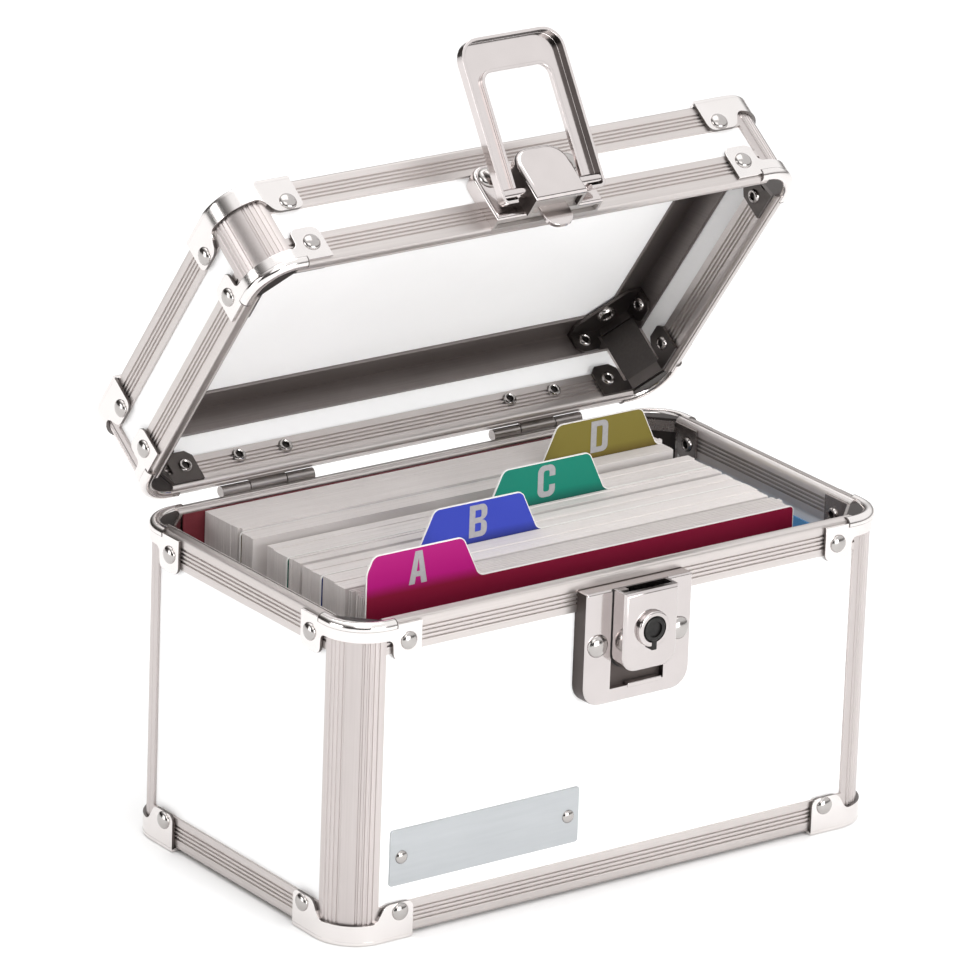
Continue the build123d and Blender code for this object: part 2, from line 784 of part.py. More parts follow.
hood_bottom = lid_rim_z - hood_drop
pivot_y = -half_depth - ring_pivot_proud
pivot_z = lid_rim_z + ring_pivot_rise
tongue_tip = lid_rim_z - tongue_reach
with BuildPart() as latch_hood:
    with BuildSketch(front.offset(plate_proud)):
        with Locations((latch_x, hood_bottom + hood_height / 2)):
            Rectangle(hood_width, hood_height)
        fillet(vertices().group_by(Axis.Y)[-1], hood_corner)
    extrude(amount=hood_proud - plate_proud)
    chamfer(latch_hood.faces().sort_by(Axis.Y)[0].edges(), hood_edge)
    with BuildSketch(front.offset(plate_proud)):
        with Locations((latch_x, hood_bottom + hood_height / 2)):
            Rectangle(hood_width - 2 * hood_sheet, hood_height - 2 * hood_sheet)
        fillet(vertices().group_by(Axis.Y)[-1], hood_corner - hood_sheet)
    extrude(amount=hood_proud - plate_proud - hood_sheet, mode=Mode.SUBTRACT)
    with BuildSketch(front.offset(tongue_back)):
        with Locations((latch_x, tongue_tip)):
            tongue_length = hood_bottom + 2 * hood_sheet - tongue_tip
            Rectangle(tongue_width, tongue_length, align=(Align.CENTER, Align.MIN))
        fillet(vertices().group_by(Axis.Y)[0], tongue_corner)
        notch_end = nose_right + bolt_travel + tongue_notch_play
        with Locations((notch_end, nose_bottom - tongue_notch_play)):
            Rectangle(
                tongue_width, bolt_nose_height + 2 * tongue_notch_play,
                align=(Align.MAX, Align.MIN), mode=Mode.SUBTRACT,
            )
    extrude(amount=tongue_sheet)
    drill(Plane.YZ.offset(latch_x), [(pivot_y, pivot_z)], ring_rod + ring_rod_fit, hood_width)
save(open_lid(latch_hood.part), "latch_hood")

latch_row = wall_rivets(latch_spots, plate_proud, panel_back, plate_rivet_head, plate_rivet_height)
save(open_lid(front_place * at_lid_rim(latch_row)), "latch_rivets")

# Ring handle: a pressed channel bent to a U, joined by the rod that it swings on, drawn hanging
ring_back = ring_pivot_proud - ring_channel / 2
with BuildPart() as handle_ring:
    for inset, mode in ((0, Mode.ADD), (ring_sheet, Mode.SUBTRACT)):
        with BuildSketch(front.offset(ring_back)):
            with Locations((latch_x, pivot_z + ring_heel)):
                Rectangle(ring_width, ring_reach + ring_heel, align=(Align.CENTER, Align.MAX))
            fillet(vertices().group_by(Axis.Y)[0], ring_corner)
            with Locations((latch_x, pivot_z + ring_heel)):
                Rectangle(
                    ring_opening, ring_opening_reach + ring_heel,
                    align=(Align.CENTER, Align.MAX), mode=Mode.SUBTRACT,
                )
            chamfer(vertices().group_by(Axis.Y)[-1], ring_heel_corner)
            if inset:
                offset(amount=-inset, mode=Mode.REPLACE)
        extrude(amount=ring_channel - inset, mode=mode)
    with BuildSketch(Plane.YZ.offset(latch_x - ring_width / 2 + ring_sheet / 2)):
        with Locations((pivot_y, pivot_z)):
            Circle(ring_rod)
    extrude(amount=ring_width - ring_sheet)
pivot_axis = Axis((0, pivot_y, pivot_z), (1, 0, 0))
save(open_lid(handle_ring.part.rotate(pivot_axis, -ring_raised_angle)), "handle_ring")

# Name plate, left bare
with BuildPart() as name_plate:
    with BuildSketch(front.offset(-rail_wall)):
        with Locations((name_plate_x, name_plate_z)):
            Rectangle(name_plate_width, name_plate_height)
        fillet(vertices(), name_plate_corner)
    extrude(amount=name_plate_sheet)
save(name_plate.part, "name_plate")

name_row = wall_rivets(
    name_spots, name_plate_sheet - rail_wall, panel_back, name_rivet_head, name_rivet_height
)
save(front_place * at_body_base(name_row), "name_plate_rivets")

# Contents: packs of cards standing between tabbed guides
guide_room = guide_sheet / 2 + guide_gap
with BuildPart() as card_packs:
    for start_share, end_share in pack_shares:
        start = deck_front + start_share * deck_depth
        end = deck_front + end_share * deck_depth
        stand = ledge_z if end > half_depth - inner_leg_end else floor_z
        with BuildSketch(Plane.XZ.offset(-start - guide_room)):
            with Locations((card_x, stand)):
                Rectangle(card_width, card_height, align=(Align.CENTER, Align.MIN))
        extrude(amount=-(end - start - 2 * guide_room))
save(card_packs.part, "card_packs")

for order, (letter, share) in enumerate(guide_shares.items()):
    place_y = deck_front + share * deck_depth
    tab_x = card_x - card_width / 2 + tab_first + order * tab_pitch
    with BuildPart() as guide:
        with BuildSketch(Plane.XZ.offset(guide_sheet / 2 - place_y)):
            with Locations((card_x, floor_z)):
                Rectangle(card_width, card_height, align=(Align.CENTER, Align.MIN))
            with BuildLine():
                Polyline(
                    (tab_x - tab_slope, floor_z + card_height),
                    (tab_x, floor_z + card_height + tab_rise),
                    (tab_x + tab_width, floor_z + card_height + tab_rise),
                    (tab_x + tab_width + tab_slope, floor_z + card_height),
                    close=True,
                )
            make_face()
            with Locations((card_x, floor_z)):
                Rectangle(
                    card_width, card_height + tab_rise,
                    align=(Align.CENTER, Align.MIN), mode=Mode.INTERSECT,
                )
            fillet(vertices().group_by(Axis.Y)[-1], tab_corner)
        extrude(amount=-guide_sheet)
    save(guide.part, f"divider_{letter}")

rear_guide_y = half_depth - rail_thick - bracket_sheet - rivet_tail_height - rear_guide_gap
with BuildPart() as rear_guide:
    with BuildSketch(Plane.XZ.offset(-rear_guide_y)):
        with Locations((card_x - rear_guide_left, ledge_z)):
            Rectangle(card_width, card_height, align=(Align.CENTER, Align.MIN))
    extrude(amount=guide_sheet)
save(rear_guide.part, "rear_guide")

with BuildPart() as side_slip:
    with BuildSketch(Plane.YZ.offset(half_width - rail_thick)):
        with Locations((slip_front, ledge_z)):
            Rectangle(slip_rear - slip_front, slip_height, align=(Align.MIN, Align.MIN))
    extrude(amount=-guide_sheet)
save(side_slip.part, "side_slip")
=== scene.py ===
"""The looks of a locking index card box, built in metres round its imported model."""
import math
import random

import bmesh
import bpy
from mathutils import Matrix, Vector


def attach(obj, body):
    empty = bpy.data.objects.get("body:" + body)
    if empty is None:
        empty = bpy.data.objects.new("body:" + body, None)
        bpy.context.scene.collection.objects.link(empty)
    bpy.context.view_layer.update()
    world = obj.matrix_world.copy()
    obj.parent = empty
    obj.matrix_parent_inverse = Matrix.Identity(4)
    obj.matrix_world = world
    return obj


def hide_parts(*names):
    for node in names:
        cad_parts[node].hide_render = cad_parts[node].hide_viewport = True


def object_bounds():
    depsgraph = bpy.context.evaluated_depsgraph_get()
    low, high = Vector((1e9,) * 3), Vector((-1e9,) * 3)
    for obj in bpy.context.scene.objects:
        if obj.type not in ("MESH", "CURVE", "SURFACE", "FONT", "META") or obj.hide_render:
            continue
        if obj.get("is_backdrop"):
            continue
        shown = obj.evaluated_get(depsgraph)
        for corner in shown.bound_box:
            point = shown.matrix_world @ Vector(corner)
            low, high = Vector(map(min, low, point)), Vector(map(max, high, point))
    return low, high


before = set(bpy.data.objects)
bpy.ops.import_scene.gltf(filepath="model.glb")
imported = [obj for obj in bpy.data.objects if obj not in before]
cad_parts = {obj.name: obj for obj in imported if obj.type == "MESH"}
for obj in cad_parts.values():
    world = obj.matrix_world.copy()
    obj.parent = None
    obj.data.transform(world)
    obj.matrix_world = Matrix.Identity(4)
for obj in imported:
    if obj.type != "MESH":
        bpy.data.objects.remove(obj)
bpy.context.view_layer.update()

# Rails of extruded aluminium, satin and slightly warm, with fine ribs along their faces. A U-shaped rail
# closes the open edge of each wall, and a corner rail joins each wall to the floor or the lid's top. They are
# cut square between the posts. Corner rails' inner legs are painted dark as shade, and the side rims'
# inner faces painted light as a highlight.
half_width = 79.25
half_depth = 45.3
base_z = 0.8
rim_z = 81.3
lid_rim_z = 81.6
lid_top_z = 106.1
post_radius = 10.1
wall_places = {
    "front": (2 * half_width, Matrix.Translation((0, -half_depth, 0))),
    "rear": (2 * half_width, Matrix.Translation((0, half_depth, 0)) @ Matrix.Rotation(math.pi, 4, "Z")),
    "left": (
        2 * half_depth, Matrix.Translation((-half_width, 0, 0)) @ Matrix.Rotation(-math.pi / 2, 4, "Z"),
    ),
    "right": (
        2 * half_depth, Matrix.Translation((half_width, 0, 0)) @ Matrix.Rotation(math.pi / 2, 4, "Z"),
    ),
}
upside_down = Matrix.Scale(-1, 4, (0, 0, 1))
body_base = Matrix.Translation((0, 0, base_z))
body_rim = Matrix.Translation((0, 0, rim_z)) @ upside_down
lid_rim = Matrix.Translation((0, 0, lid_rim_z))
lid_top = Matrix.Translation((0, 0, lid_top_z)) @ upside_down
hinge_line = Vector((0, 46.75, 81.45))
lid_angle = math.radians(54.7)
lid_opened = (
    Matrix.Translation(hinge_line) @ Matrix.Rotation(-lid_angle, 4, "X") @ Matrix.Translation(-hinge_line)
)


class Tone:
    """A socket in a finish: arithmetic on it adds Math nodes, and add() puts in any other node."""

    def __init__(self, tree, socket=None):
        self.tree = tree
        self.socket = socket

    def add(self, kind, inputs, output=0, stops=(), **settings):
        node = self.tree.nodes.new(kind)
        for setting, value in settings.items():
            setattr(node, setting, value)
        for order, (position, colour) in enumerate(stops):
            ramp = node.color_ramp.elements
            stop = ramp[order] if order < 2 else ramp.new(position)
            stop.position = position
            stop.color = colour
        for name, value in inputs.items():
            if isinstance(value, Tone):
                self.tree.links.new(value.socket, node.inputs[name])
            else:
                node.inputs[name].default_value = value
        return Tone(self.tree, node.outputs[output])

    def math(self, operation, first, second):
        return self.add("ShaderNodeMath", {0: first, 1: second}, operation=operation)

    def __add__(self, other):
        return self.math("ADD", self, other)

    __radd__ = __add__

    def __sub__(self, other):
        return self.math("SUBTRACT", self, other)

    def __rsub__(self, other):
        return self.math("SUBTRACT", other, self)

    def __mul__(self, other):
        return self.math("MULTIPLY", self, other)

    __rmul__ = __mul__


def start_finish(name, **constants):
    """A new material, its shader and the place on the piece that its pattern reads."""
    material = bpy.data.materials.new(name)
    material.use_nodes = True
    tree = material.node_tree
    shader = tree.nodes["Principled BSDF"]
    for socket, value in constants.items():
        shader.inputs[socket.replace("_", " ")].default_value = value
    place = Tone(tree).add("ShaderNodeTexCoord", {}, output="Object")
    return material, shader, place


def feed(shader, **varying):
    """Links what changes over the surface to the shader."""
    for socket, tone in varying.items():
        tone.tree.links.new(tone.socket, shader.inputs[socket.replace("_", " ")])


def blend(mask, low, high):
    """A colour between two, by a mask."""
    return mask.add(
        "ShaderNodeMix", {"Factor": mask, 6: low, 7: high}, output=2, data_type="RGBA",
    )


def drawn_metal(name, stretch, turn, low, high, roughness):
    """Satin metal with faint streaks along the way it was drawn."""
    metal, shader, place = start_finish(name, Metallic=1.0)
    lined = place.add("ShaderNodeMapping", {"Vector": place, "Rotation": (turn, 0, 0), "Scale": stretch})
    streak = place.add("ShaderNodeTexNoise", {"Vector": lined, "Scale": 1.0, "Detail": 4.0})
    cloud = place.add("ShaderNodeTexNoise", {"Vector": place, "Scale": 60.0, "Detail": 2.0})
    mask = streak * 0.7 + cloud * 0.3
    bump = place.add("ShaderNodeBump", {"Height": streak, "Strength": 0.12, "Distance": 0.0001})
    feed(shader, Base_Color=blend(mask, low, high), Roughness=streak * 0.16 + roughness, Normal=bump)
    return metal


satin = 0.26
# Beside the satin metal: a copy painted dark as shade, for the corner rails' inner legs, and a copy painted
# light as a highlight, for the side rims' inner faces.
rail_tones = {
    "satin_aluminium": ((0.51, 0.472, 0.457, 1), (0.64, 0.597, 0.58, 1), satin),
    "dark_inner_leg": ((0.16, 0.14, 0.135, 1), (0.26, 0.235, 0.225, 1), 0.32),
    "painted_light_rim": ((0.86, 0.82, 0.805, 1), (0.96, 0.92, 0.905, 1), 0.34),
}
along_x = (25, 2500, 2500)
along_y = (2500, 25, 2500)
rail_finish = {}
for body_name, turn in (("body", 0), ("lid", lid_angle)):
    for direction, stretch in (("x", along_x), ("y", along_y)):
        rail_finish[body_name, direction] = [
            drawn_metal(f"{tone}_{body_name}_{direction}", stretch, turn, dark, pale, roughness)
            for tone, (dark, pale, roughness) in rail_tones.items()
        ]


def set_piece(name, drawn, body, finishes, stands_for):
    """Turns a mesh drawn in millimetres, with the lid closed, into a piece that rides on its body."""
    if body in ("lid", "handle"):
        bmesh.ops.transform(drawn, matrix=lid_opened, verts=drawn.verts)
    bmesh.ops.scale(drawn, vec=(0.001, 0.001, 0.001), verts=drawn.verts)
    bmesh.ops.recalc_face_normals(drawn, faces=drawn.faces)
    mesh = bpy.data.meshes.new(name)
    drawn.to_mesh(mesh)
    drawn.free()
    for finish in finishes:
        mesh.materials.append(finish)
    mesh.shade_smooth()
    mesh.set_sharp_from_angle(angle=math.radians(32))
    piece = bpy.data.objects.new(name, mesh)
    bpy.context.scene.collection.objects.link(piece)
    flat_faces = piece.modifiers.new("flat_faces", "WEIGHTED_NORMAL")
    flat_faces.keep_sharp = True
    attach(piece, body)
    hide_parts(*stands_for)
    return piece


def grow(drawn, faces, way):
    """Extrudes faces along a way: a lone outline gets depth, a face of a body a hollow or a boss."""
    edges = {edge for face in faces for edge in face.edges}
    grown = bmesh.ops.extrude_face_region(drawn, geom=[*faces, *edges])
    ends = [part for part in grown["geom"] if isinstance(part, bmesh.types.BMVert)]
    bmesh.ops.translate(drawn, vec=way, verts=ends)
    return [part for part in grown["geom"] if isinstance(part, bmesh.types.BMFace)]


rib_spots = (3.1, 4.15, 5.2, 6.25)
rib_side = 0.34
rib_floor = 0.16
rib_depth = 0.4
rail_deep = 3.5
skin = 0.75
slot_back = rail_deep - skin
rim_leg = 8.4
slot_floor = 1.6
edge_leg = 8.2
inner_leg = 9.9
grooves = []
for spot in rib_spots:
    grooves += [(0, spot - rib_side), (rib_depth, spot - rib_floor)]
    grooves += [(rib_depth, spot + rib_floor), (0, spot + rib_side)]

rim_outline = [(0, rim_leg), *reversed(grooves)]
rim_outline += [(0, 1.1), (0.22, 0.55), (0.75, 0.25), (1.9, 0.2), (2.05, 0.5), (2.3, 0.5), (2.45, 0.25)]
rim_outline += [(2.8, 0.33), (3.15, 0.6), (3.4, 1.05), (rail_deep, 1.7)]
rim_outline += [(rail_deep - deep, along) for deep, along in grooves]
rim_outline += [(rail_deep, rim_leg), (slot_back, rim_leg), (slot_back, slot_floor)]
rim_outline += [(skin, slot_floor), (skin, rim_leg)]

edge_outline = [(0, edge_leg), *reversed(grooves)]
edge_outline += [(0, 1.3), (0.1, 0.8), (0.38, 0.38), (0.8, 0.1), (1.3, 0)]
edge_outline += [(along, deep) for deep, along in grooves]
edge_outline += [(edge_leg, 0), (edge_leg, skin), (rail_deep, skin), (rail_deep, slot_back)]
edge_outline += [(inner_leg, slot_back), (inner_leg, 3.3), (9.7, rail_deep), (rail_deep, rail_deep)]
edge_outline += [(rail_deep, 9.7), (3.3, inner_leg), (slot_back, inner_leg), (slot_back, rail_deep)]
edge_outline += [(skin, rail_deep), (skin, edge_leg)]
leg_start = 2.7
inner_face = 3.45
crest = 2.4
crest_foot = 1.5


def rail(outline, run):
    """A rail along X from its outline, y inwards and z away from the wall's edge."""
    drawn = bmesh.new()
    section = drawn.faces.new([drawn.verts.new((-run / 2, y, z)) for y, z in outline])
    grow(drawn, [section], (run, 0, 0))
    return drawn


for side, (length, wall) in wall_places.items():
    direction = "x" if side in ("front", "rear") else "y"
    run = length - 2 * post_radius
    for node, outline, place, body in (
        (f"{side}_rim_rail", rim_outline, body_rim, "body"),
        (f"{side}_base_rail", edge_outline, body_base, "body"),
        (f"lid_{side}_rim_rail", rim_outline, lid_rim, "lid"),
        (f"lid_{side}_top_rail", edge_outline, lid_top, "lid"),
    ):
        drawn = rail(outline, run)
        for face in drawn.faces:
            centre = face.calc_center_median()
            # Index 1 paints shade on the corner rails' inner legs.
            face.material_index = int(outline is edge_outline and min(centre.y, centre.z) > leg_start)
            # Index 2 paints a highlight on the inner faces and inner crest of the left and right rim rails.
            lit = centre.y > inner_face or (centre.y > crest and centre.z < crest_foot)
            if node in ("left_rim_rail", "right_rim_rail") and lit:
                face.material_index = 2
        bmesh.ops.transform(drawn, matrix=wall @ place, verts=drawn.verts)
        set_piece(f"{node}_ribbed", drawn, body, rail_finish[body, direction], [node])

# Panels of thin board with a smooth white laminate, slid into the slots of the rails and posts before the
# corners are riveted. They are flat and plain, so the model's own boards are shown, with a faint gloss.
laminate, shader, place = start_finish("white_laminate", IOR=1.46)
mottle = place.add("ShaderNodeTexNoise", {"Vector": place, "Scale": 90.0, "Detail": 3.0})
grain = place.add("ShaderNodeTexNoise", {"Vector": place, "Scale": 1400.0, "Detail": 2.0})
ripple = place.add("ShaderNodeBump", {"Height": grain, "Strength": 0.05, "Distance": 0.00005})
feed(
    shader,
    Base_Color=blend(mottle, (0.92, 0.92, 0.92, 1), (0.95, 0.95, 0.95, 1)),
    Roughness=mottle * 0.1 + 0.28,
    Normal=ripple,
)


def paint(node, finish):
    """Gives one of the model's own pieces its finish."""
    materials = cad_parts[node].data.materials
    materials.clear()
    materials.append(finish)


for node in ("floor_panel", "lid_panel"):
    paint(node, laminate)
for side in wall_places:
    paint(f"{side}_panel", laminate)
    paint(f"lid_{side}_panel", laminate)

# Corner posts, quarter-round extrusions of the same aluminium with two groups of fine grooves.
# The panels end in their slots, the stamped caps hold them at both ends, and their inner face is flat.
# That flat face and the posts' cut ends are painted dark as shade.
groove_spots = (11, 18, 25, 32, 58, 65, 72, 79)
groove_depth = 0.26
inner_diagonal = 13


def kept(drawn, name):
    """Keeps a finished shape as a mesh to copy from."""
    mesh = bpy.data.meshes.new(name)
    drawn.to_mesh(mesh)
    drawn.free()
    return mesh


def post(height):
    """A post with the box's virtual corner at the origin, rounded in steps of a degree."""
    drawn = bmesh.new()
    first = drawn.verts.new((0, post_radius, 0))
    centre = Vector((post_radius, post_radius, 0))
    bmesh.ops.spin(drawn, geom=[first], cent=centre, axis=(0, 0, 1), angle=math.pi / 2, steps=90)
    rounded = sorted(drawn.verts, key=lambda vert: vert.co.x - vert.co.y)
    for step, vert in enumerate(rounded):
        if min(abs(step - spot) for spot in groove_spots) <= 1:
            vert.co += (centre - vert.co).normalized() * groove_depth
    inner = [drawn.verts.new((post_radius, rail_deep, 0)), drawn.verts.new((rail_deep, post_radius, 0))]
    section = drawn.faces.new(rounded + inner)
    grow(drawn, [section], (0, 0, height))
    # The flat inner face and the cut ends take the second finish, painted dark as shade.
    for face in drawn.faces:
        middle = face.calc_center_median()
        flat_inside = middle.x + middle.y > inner_diagonal and abs(middle.x - middle.y) < 0.1
        face.material_index = int(flat_inside or abs(face.normal.z) > 0.9)
    return kept(drawn, "post")


def stamp(drawn, shape, matrix=Matrix.Identity(4)):
    """Adds a copy of a shape to a mesh, where it was drawn or at another place."""
    copy = shape.copy()
    copy.transform(matrix)
    drawn.from_mesh(copy)
    bpy.data.meshes.remove(copy)


front_left = Matrix.Translation((-half_width, -half_depth, 0))
corner_places = [
    Matrix.Scale(along, 4, (1, 0, 0)) @ Matrix.Scale(across, 4, (0, 1, 0)) @ front_left
    for along in (1, -1)
    for across in (1, -1)
]


def at_corners(shape, place):
    """Copies of a corner shape at the box's four corners."""
    drawn = bmesh.new()
    for corner in corner_places:
        stamp(drawn, shape, place @ corner)
    return drawn


along_z = (2500, 2500, 25)
post_tones = {
    "satin_post": ((0.47, 0.428, 0.418, 1), (0.60, 0.553, 0.54, 1), satin),
    "painted_shade_post_face": ((0.05, 0.044, 0.042, 1), (0.09, 0.08, 0.077, 1), 0.36),
}
for body, height, place, turn in (("body", 79.7, body_base, 0), ("lid", 23.7, lid_top, lid_angle)):
    finishes = [
        drawn_metal(f"{tone}_{body}", along_z, turn, dark, pale, roughness)
        for tone, (dark, pale, roughness) in post_tones.items()
    ]
    drawn = at_corners(post(height), place)
    set_piece(f"{body}_posts_grooved", drawn, body, finishes, [f"{body}_posts"])

# Corner caps stamped from bright nickel-plated sheet, wrapped round each corner with an ear on each wall and
# riveted through the rails. Rim caps have a rolled lip over the post's end. Base and top caps have a flange
# folded over the corner, and the box stands on those of the base.
sheet = 0.8
seat = 0.05
cap_arm = 19.6
arc_radius = post_radius + seat
arc_half = arc_radius * math.pi / 4
bend_steps = 12
box_inside = Vector((25, 25, 4))
ear_start = arc_half + 11.6 - post_radius
ear_end = arc_half + cap_arm - post_radius


def nickel(name, low, high, roughness):
    """Bright plated sheet with faint haze and fine scratches."""
    metal, shader, place = start_finish(name, Metallic=1.0)
    haze = place.add("ShaderNodeTexNoise", {"Vector": place, "Scale": 120.0, "Detail": 3.0})
    scratch = place.add("ShaderNodeTexNoise", {"Vector": place, "Scale": 2600.0, "Detail": 2.0})
    bump = place.add("ShaderNodeBump", {"Height": haze, "Strength": 0.06, "Distance": 0.0003})
    feed(
        shader,
        Base_Color=blend(haze, low, high),
        Roughness=haze * 0.08 + scratch * 0.05 + roughness,
        Normal=bump,
    )
    return metal


cap_finish = nickel("bright_nickel", (0.74, 0.706, 0.692, 1), (0.82, 0.785, 0.77, 1), 0.1)
# The second finish is painted shade: a dark copy of the nickel for the sheet's cut edges and joins.
shaded_edge_finish = nickel("sheet_edge_painted_shade", (0.10, 0.09, 0.086, 1), (0.20, 0.18, 0.172, 1), 0.25)


def round_corner(drawn, vert, radius):
    """Rounds one corner of a flat outline."""
    bmesh.ops.bevel(
        drawn, geom=[vert], offset=radius, offset_type="OFFSET", segments=6, profile=0.5,
        affect="VERTICES", material=-1,
    )


def round_edges(drawn, edges, width, steps):
    """Rounds edges of a shape."""
    bmesh.ops.bevel(
        drawn, geom=edges, offset=width, offset_type="OFFSET", segments=steps, profile=0.5,
        affect="EDGES", clamp_overlap=True, material=-1,
    )


def soften(drawn, width, steps=2):
    """Rounds all the sharp edges of a shape."""
    sharp = [
        edge for edge in drawn.edges
        if len(edge.link_faces) == 2 and edge.calc_face_angle() > math.radians(50)
    ]
    round_edges(drawn, sharp, width, steps)


def cap_band(start, band, ear, notch, ear_round, notch_round):
    """The band and ears of a cap: cut flat, bent round the corner and given its thickness."""
    drawn = bmesh.new()
    outline = [
        (-ear_end, start, 0), (ear_end, start, 0),
        (ear_end, ear, ear_round), (ear_start, ear, ear_round * 0.7),
        (ear_start - notch, band, notch_round), (notch - ear_start, band, notch_round),
        (-ear_start, ear, ear_round * 0.7), (-ear_end, ear, ear_round),
    ]
    corners = [drawn.verts.new((s, 0, z)) for s, z, radius in outline]
    drawn.faces.new(corners)
    for vert, (s, z, radius) in zip(corners, outline):
        if radius:
            round_corner(drawn, vert, radius)
    for step in range(-bend_steps, bend_steps + 1):
        cut = drawn.verts[:] + drawn.edges[:] + drawn.faces[:]
        fold = step * arc_half / bend_steps
        bmesh.ops.bisect_plane(drawn, geom=cut, dist=1e-5, plane_co=(fold, 0, 0), plane_no=(1, 0, 0))
    for vert in drawn.verts:
        along = vert.co.x
        bend = max(-arc_half, min(arc_half, along)) / arc_radius - 0.75 * math.pi
        past = abs(along) - arc_half
        vert.co.x = post_radius + arc_radius * math.cos(bend)
        vert.co.y = post_radius + arc_radius * math.sin(bend)
        if past > 0:
            vert.co += Vector((past, 0, 0)) if along > 0 else Vector((0, past, 0))
    flat = list(drawn.faces)
    bmesh.ops.recalc_face_normals(drawn, faces=flat)
    outward = sum(face.normal.dot(face.calc_center_median() - box_inside) for face in flat)
    if outward < 0:
        bmesh.ops.reverse_faces(drawn, faces=flat)
    bmesh.ops.solidify(drawn, geom=flat, thickness=-sheet)
    bmesh.ops.recalc_face_normals(drawn, faces=drawn.faces)
    # The cut edges, all but the one at the band's start, are painted dark as shade.
    for face in drawn.faces:
        middle = face.calc_center_median()
        if middle.x > post_radius:
            across_sheet = abs(face.normal.y)
        elif middle.y > post_radius:
            across_sheet = abs(face.normal.x)
        else:
            across_sheet = face.normal.xy.length
        face.material_index = int(across_sheet < 0.5 and middle.z > start + 0.4)
    soften(drawn, 0.16)
    return drawn


bead_radius = 1.6
bead_middle = 9.45
bead_run = 2.2
lip_foot = 3.0
seam = 0.3


def rim_cap():
    """A rim cap, the rim at z = 0."""
    drawn = cap_band(start=1.0, band=4.8, ear=10.0, notch=0.3, ear_round=2.2, notch_round=1.4)
    lip = []
    for step in range(-4, bend_steps + 1):
        turn = math.pi * step / bend_steps
        lip.append((bead_middle + bead_radius * math.cos(turn), bead_radius * (1 - math.sin(turn))))
    lip.append((bead_middle - bead_radius, lip_foot))
    band_faces = set(drawn.faces)
    section = drawn.faces.new([drawn.verts.new((post_radius - r, post_radius, z)) for r, z in lip])
    first_end = grow(drawn, [section], (0, bead_run, 0))
    grow(drawn, first_end, (0, seam, 0))
    ring = bmesh.ops.spin(
        drawn, geom=[section, *section.edges, *section.verts], cent=(post_radius, post_radius, 0),
        axis=(0, 0, 1), angle=math.pi / 2, steps=20,
    )
    end = [part for part in ring["geom_last"] if isinstance(part, bmesh.types.BMFace)]
    last_end = grow(drawn, end, (bead_run, 0, 0))
    grow(drawn, last_end, (seam, 0, 0))
    # The bead's underside and the seam beyond each end of the bead are painted dark as shade.
    for face in set(drawn.faces) - band_faces:
        middle = face.calc_center_median()
        past_bead = max(middle.x, middle.y) > post_radius + bead_run + 0.01
        face.material_index = int(past_bead or middle.z > bead_radius + 0.3)
    return drawn


def edge_cap():
    """A base or top cap, the rails' face at z = 0 and the flange below it."""
    drawn = cap_band(start=0, band=4.4, ear=8.8, notch=2.6, ear_round=2.0, notch_round=1.2)
    fold = sheet + seat + 0.03
    first = drawn.verts.new((-fold, post_radius, -sheet))
    centre = (post_radius, post_radius, -sheet)
    bmesh.ops.spin(drawn, geom=[first], cent=centre, axis=(0, 0, 1), angle=math.pi / 2, steps=16)
    rounded = [vert for vert in drawn.verts if abs(vert.co.z + sheet) < 1e-6]
    rounded.sort(key=lambda vert: vert.co.x - vert.co.y)
    inner = [(cap_arm, -fold), (cap_arm, 2.2), (15, 8), (8, 15), (2.2, cap_arm), (-fold, cap_arm)]
    plate = drawn.faces.new(rounded + [drawn.verts.new((x, y, -sheet)) for x, y in inner])
    plate_edges = list(plate.edges)
    grow(drawn, [plate], (0, 0, sheet + 0.3))
    round_edges(drawn, plate_edges, 0.55, 3)
    return drawn


rim_cap_shape = kept(rim_cap(), "rim_cap")
edge_cap_shape = kept(edge_cap(), "edge_cap")
for node, shape, place, body in (
    ("body_rim_caps", rim_cap_shape, body_rim, "body"),
    ("body_base_caps", edge_cap_shape, body_base, "body"),
    ("lid_rim_caps", rim_cap_shape, lid_rim, "lid"),
    ("lid_top_caps", edge_cap_shape, lid_top, "lid"),
):
    drawn = at_corners(shape, place)
    set_piece(f"{node}_stamped", drawn, body, [cap_finish, shaded_edge_finish], [node])

# Brackets inside the corners: plated strip bent to the posts' flat faces and riveted with the caps.
# They lie in the shade of the walls, so their plating is painted dark as shade, darkest in the lid.
bracket_finish = nickel("painted_shade_nickel", (0.30, 0.275, 0.265, 1), (0.42, 0.385, 0.37, 1), 0.2)
shaded_bracket = nickel("shaded_bracket", (0.07, 0.062, 0.059, 1), (0.13, 0.116, 0.11, 1), 0.3)
for node, finish in (
    ("body_rim_brackets", bracket_finish),
    ("body_base_brackets", bracket_finish),
    ("lid_rim_brackets", shaded_bracket),
    ("lid_top_brackets", shaded_bracket),
):
    paint(node, finish)

# Rivets of plated steel, with a polished dome outside and a rolled tail inside, a ring round a hollow painted
# dark as shade.
# One goes through each end of every rail and two through each hinge leaf. In the lid's top brackets only the
# tails show.
cap_face = 0.85
leaf_face = 0.6
rivet_inset = 15.8
rim_rivet = 5.6
edge_rivet = 6.5
bracket_face = 4.3
hinge_middle = 40.5
hinge_rivet_side = 6.8
hinge_rivet = 6.0
top_rivet_inset = 11.2


def dome(radius, height):
    """A round rivet head, standing up from z = 0."""
    drawn = bmesh.new()
    bmesh.ops.create_uvsphere(drawn, u_segments=24, v_segments=14, radius=radius)
    bmesh.ops.scale(drawn, vec=(1, 1, height / radius), verts=drawn.verts)
    whole = drawn.verts[:] + drawn.edges[:] + drawn.faces[:]
    bmesh.ops.bisect_plane(
        drawn, geom=whole, dist=1e-5, plane_co=(0, 0, 0), plane_no=(0, 0, 1), clear_inner=True,
    )
    bmesh.ops.holes_fill(drawn, edges=[edge for edge in drawn.edges if edge.is_boundary])
    return kept(drawn, "dome")


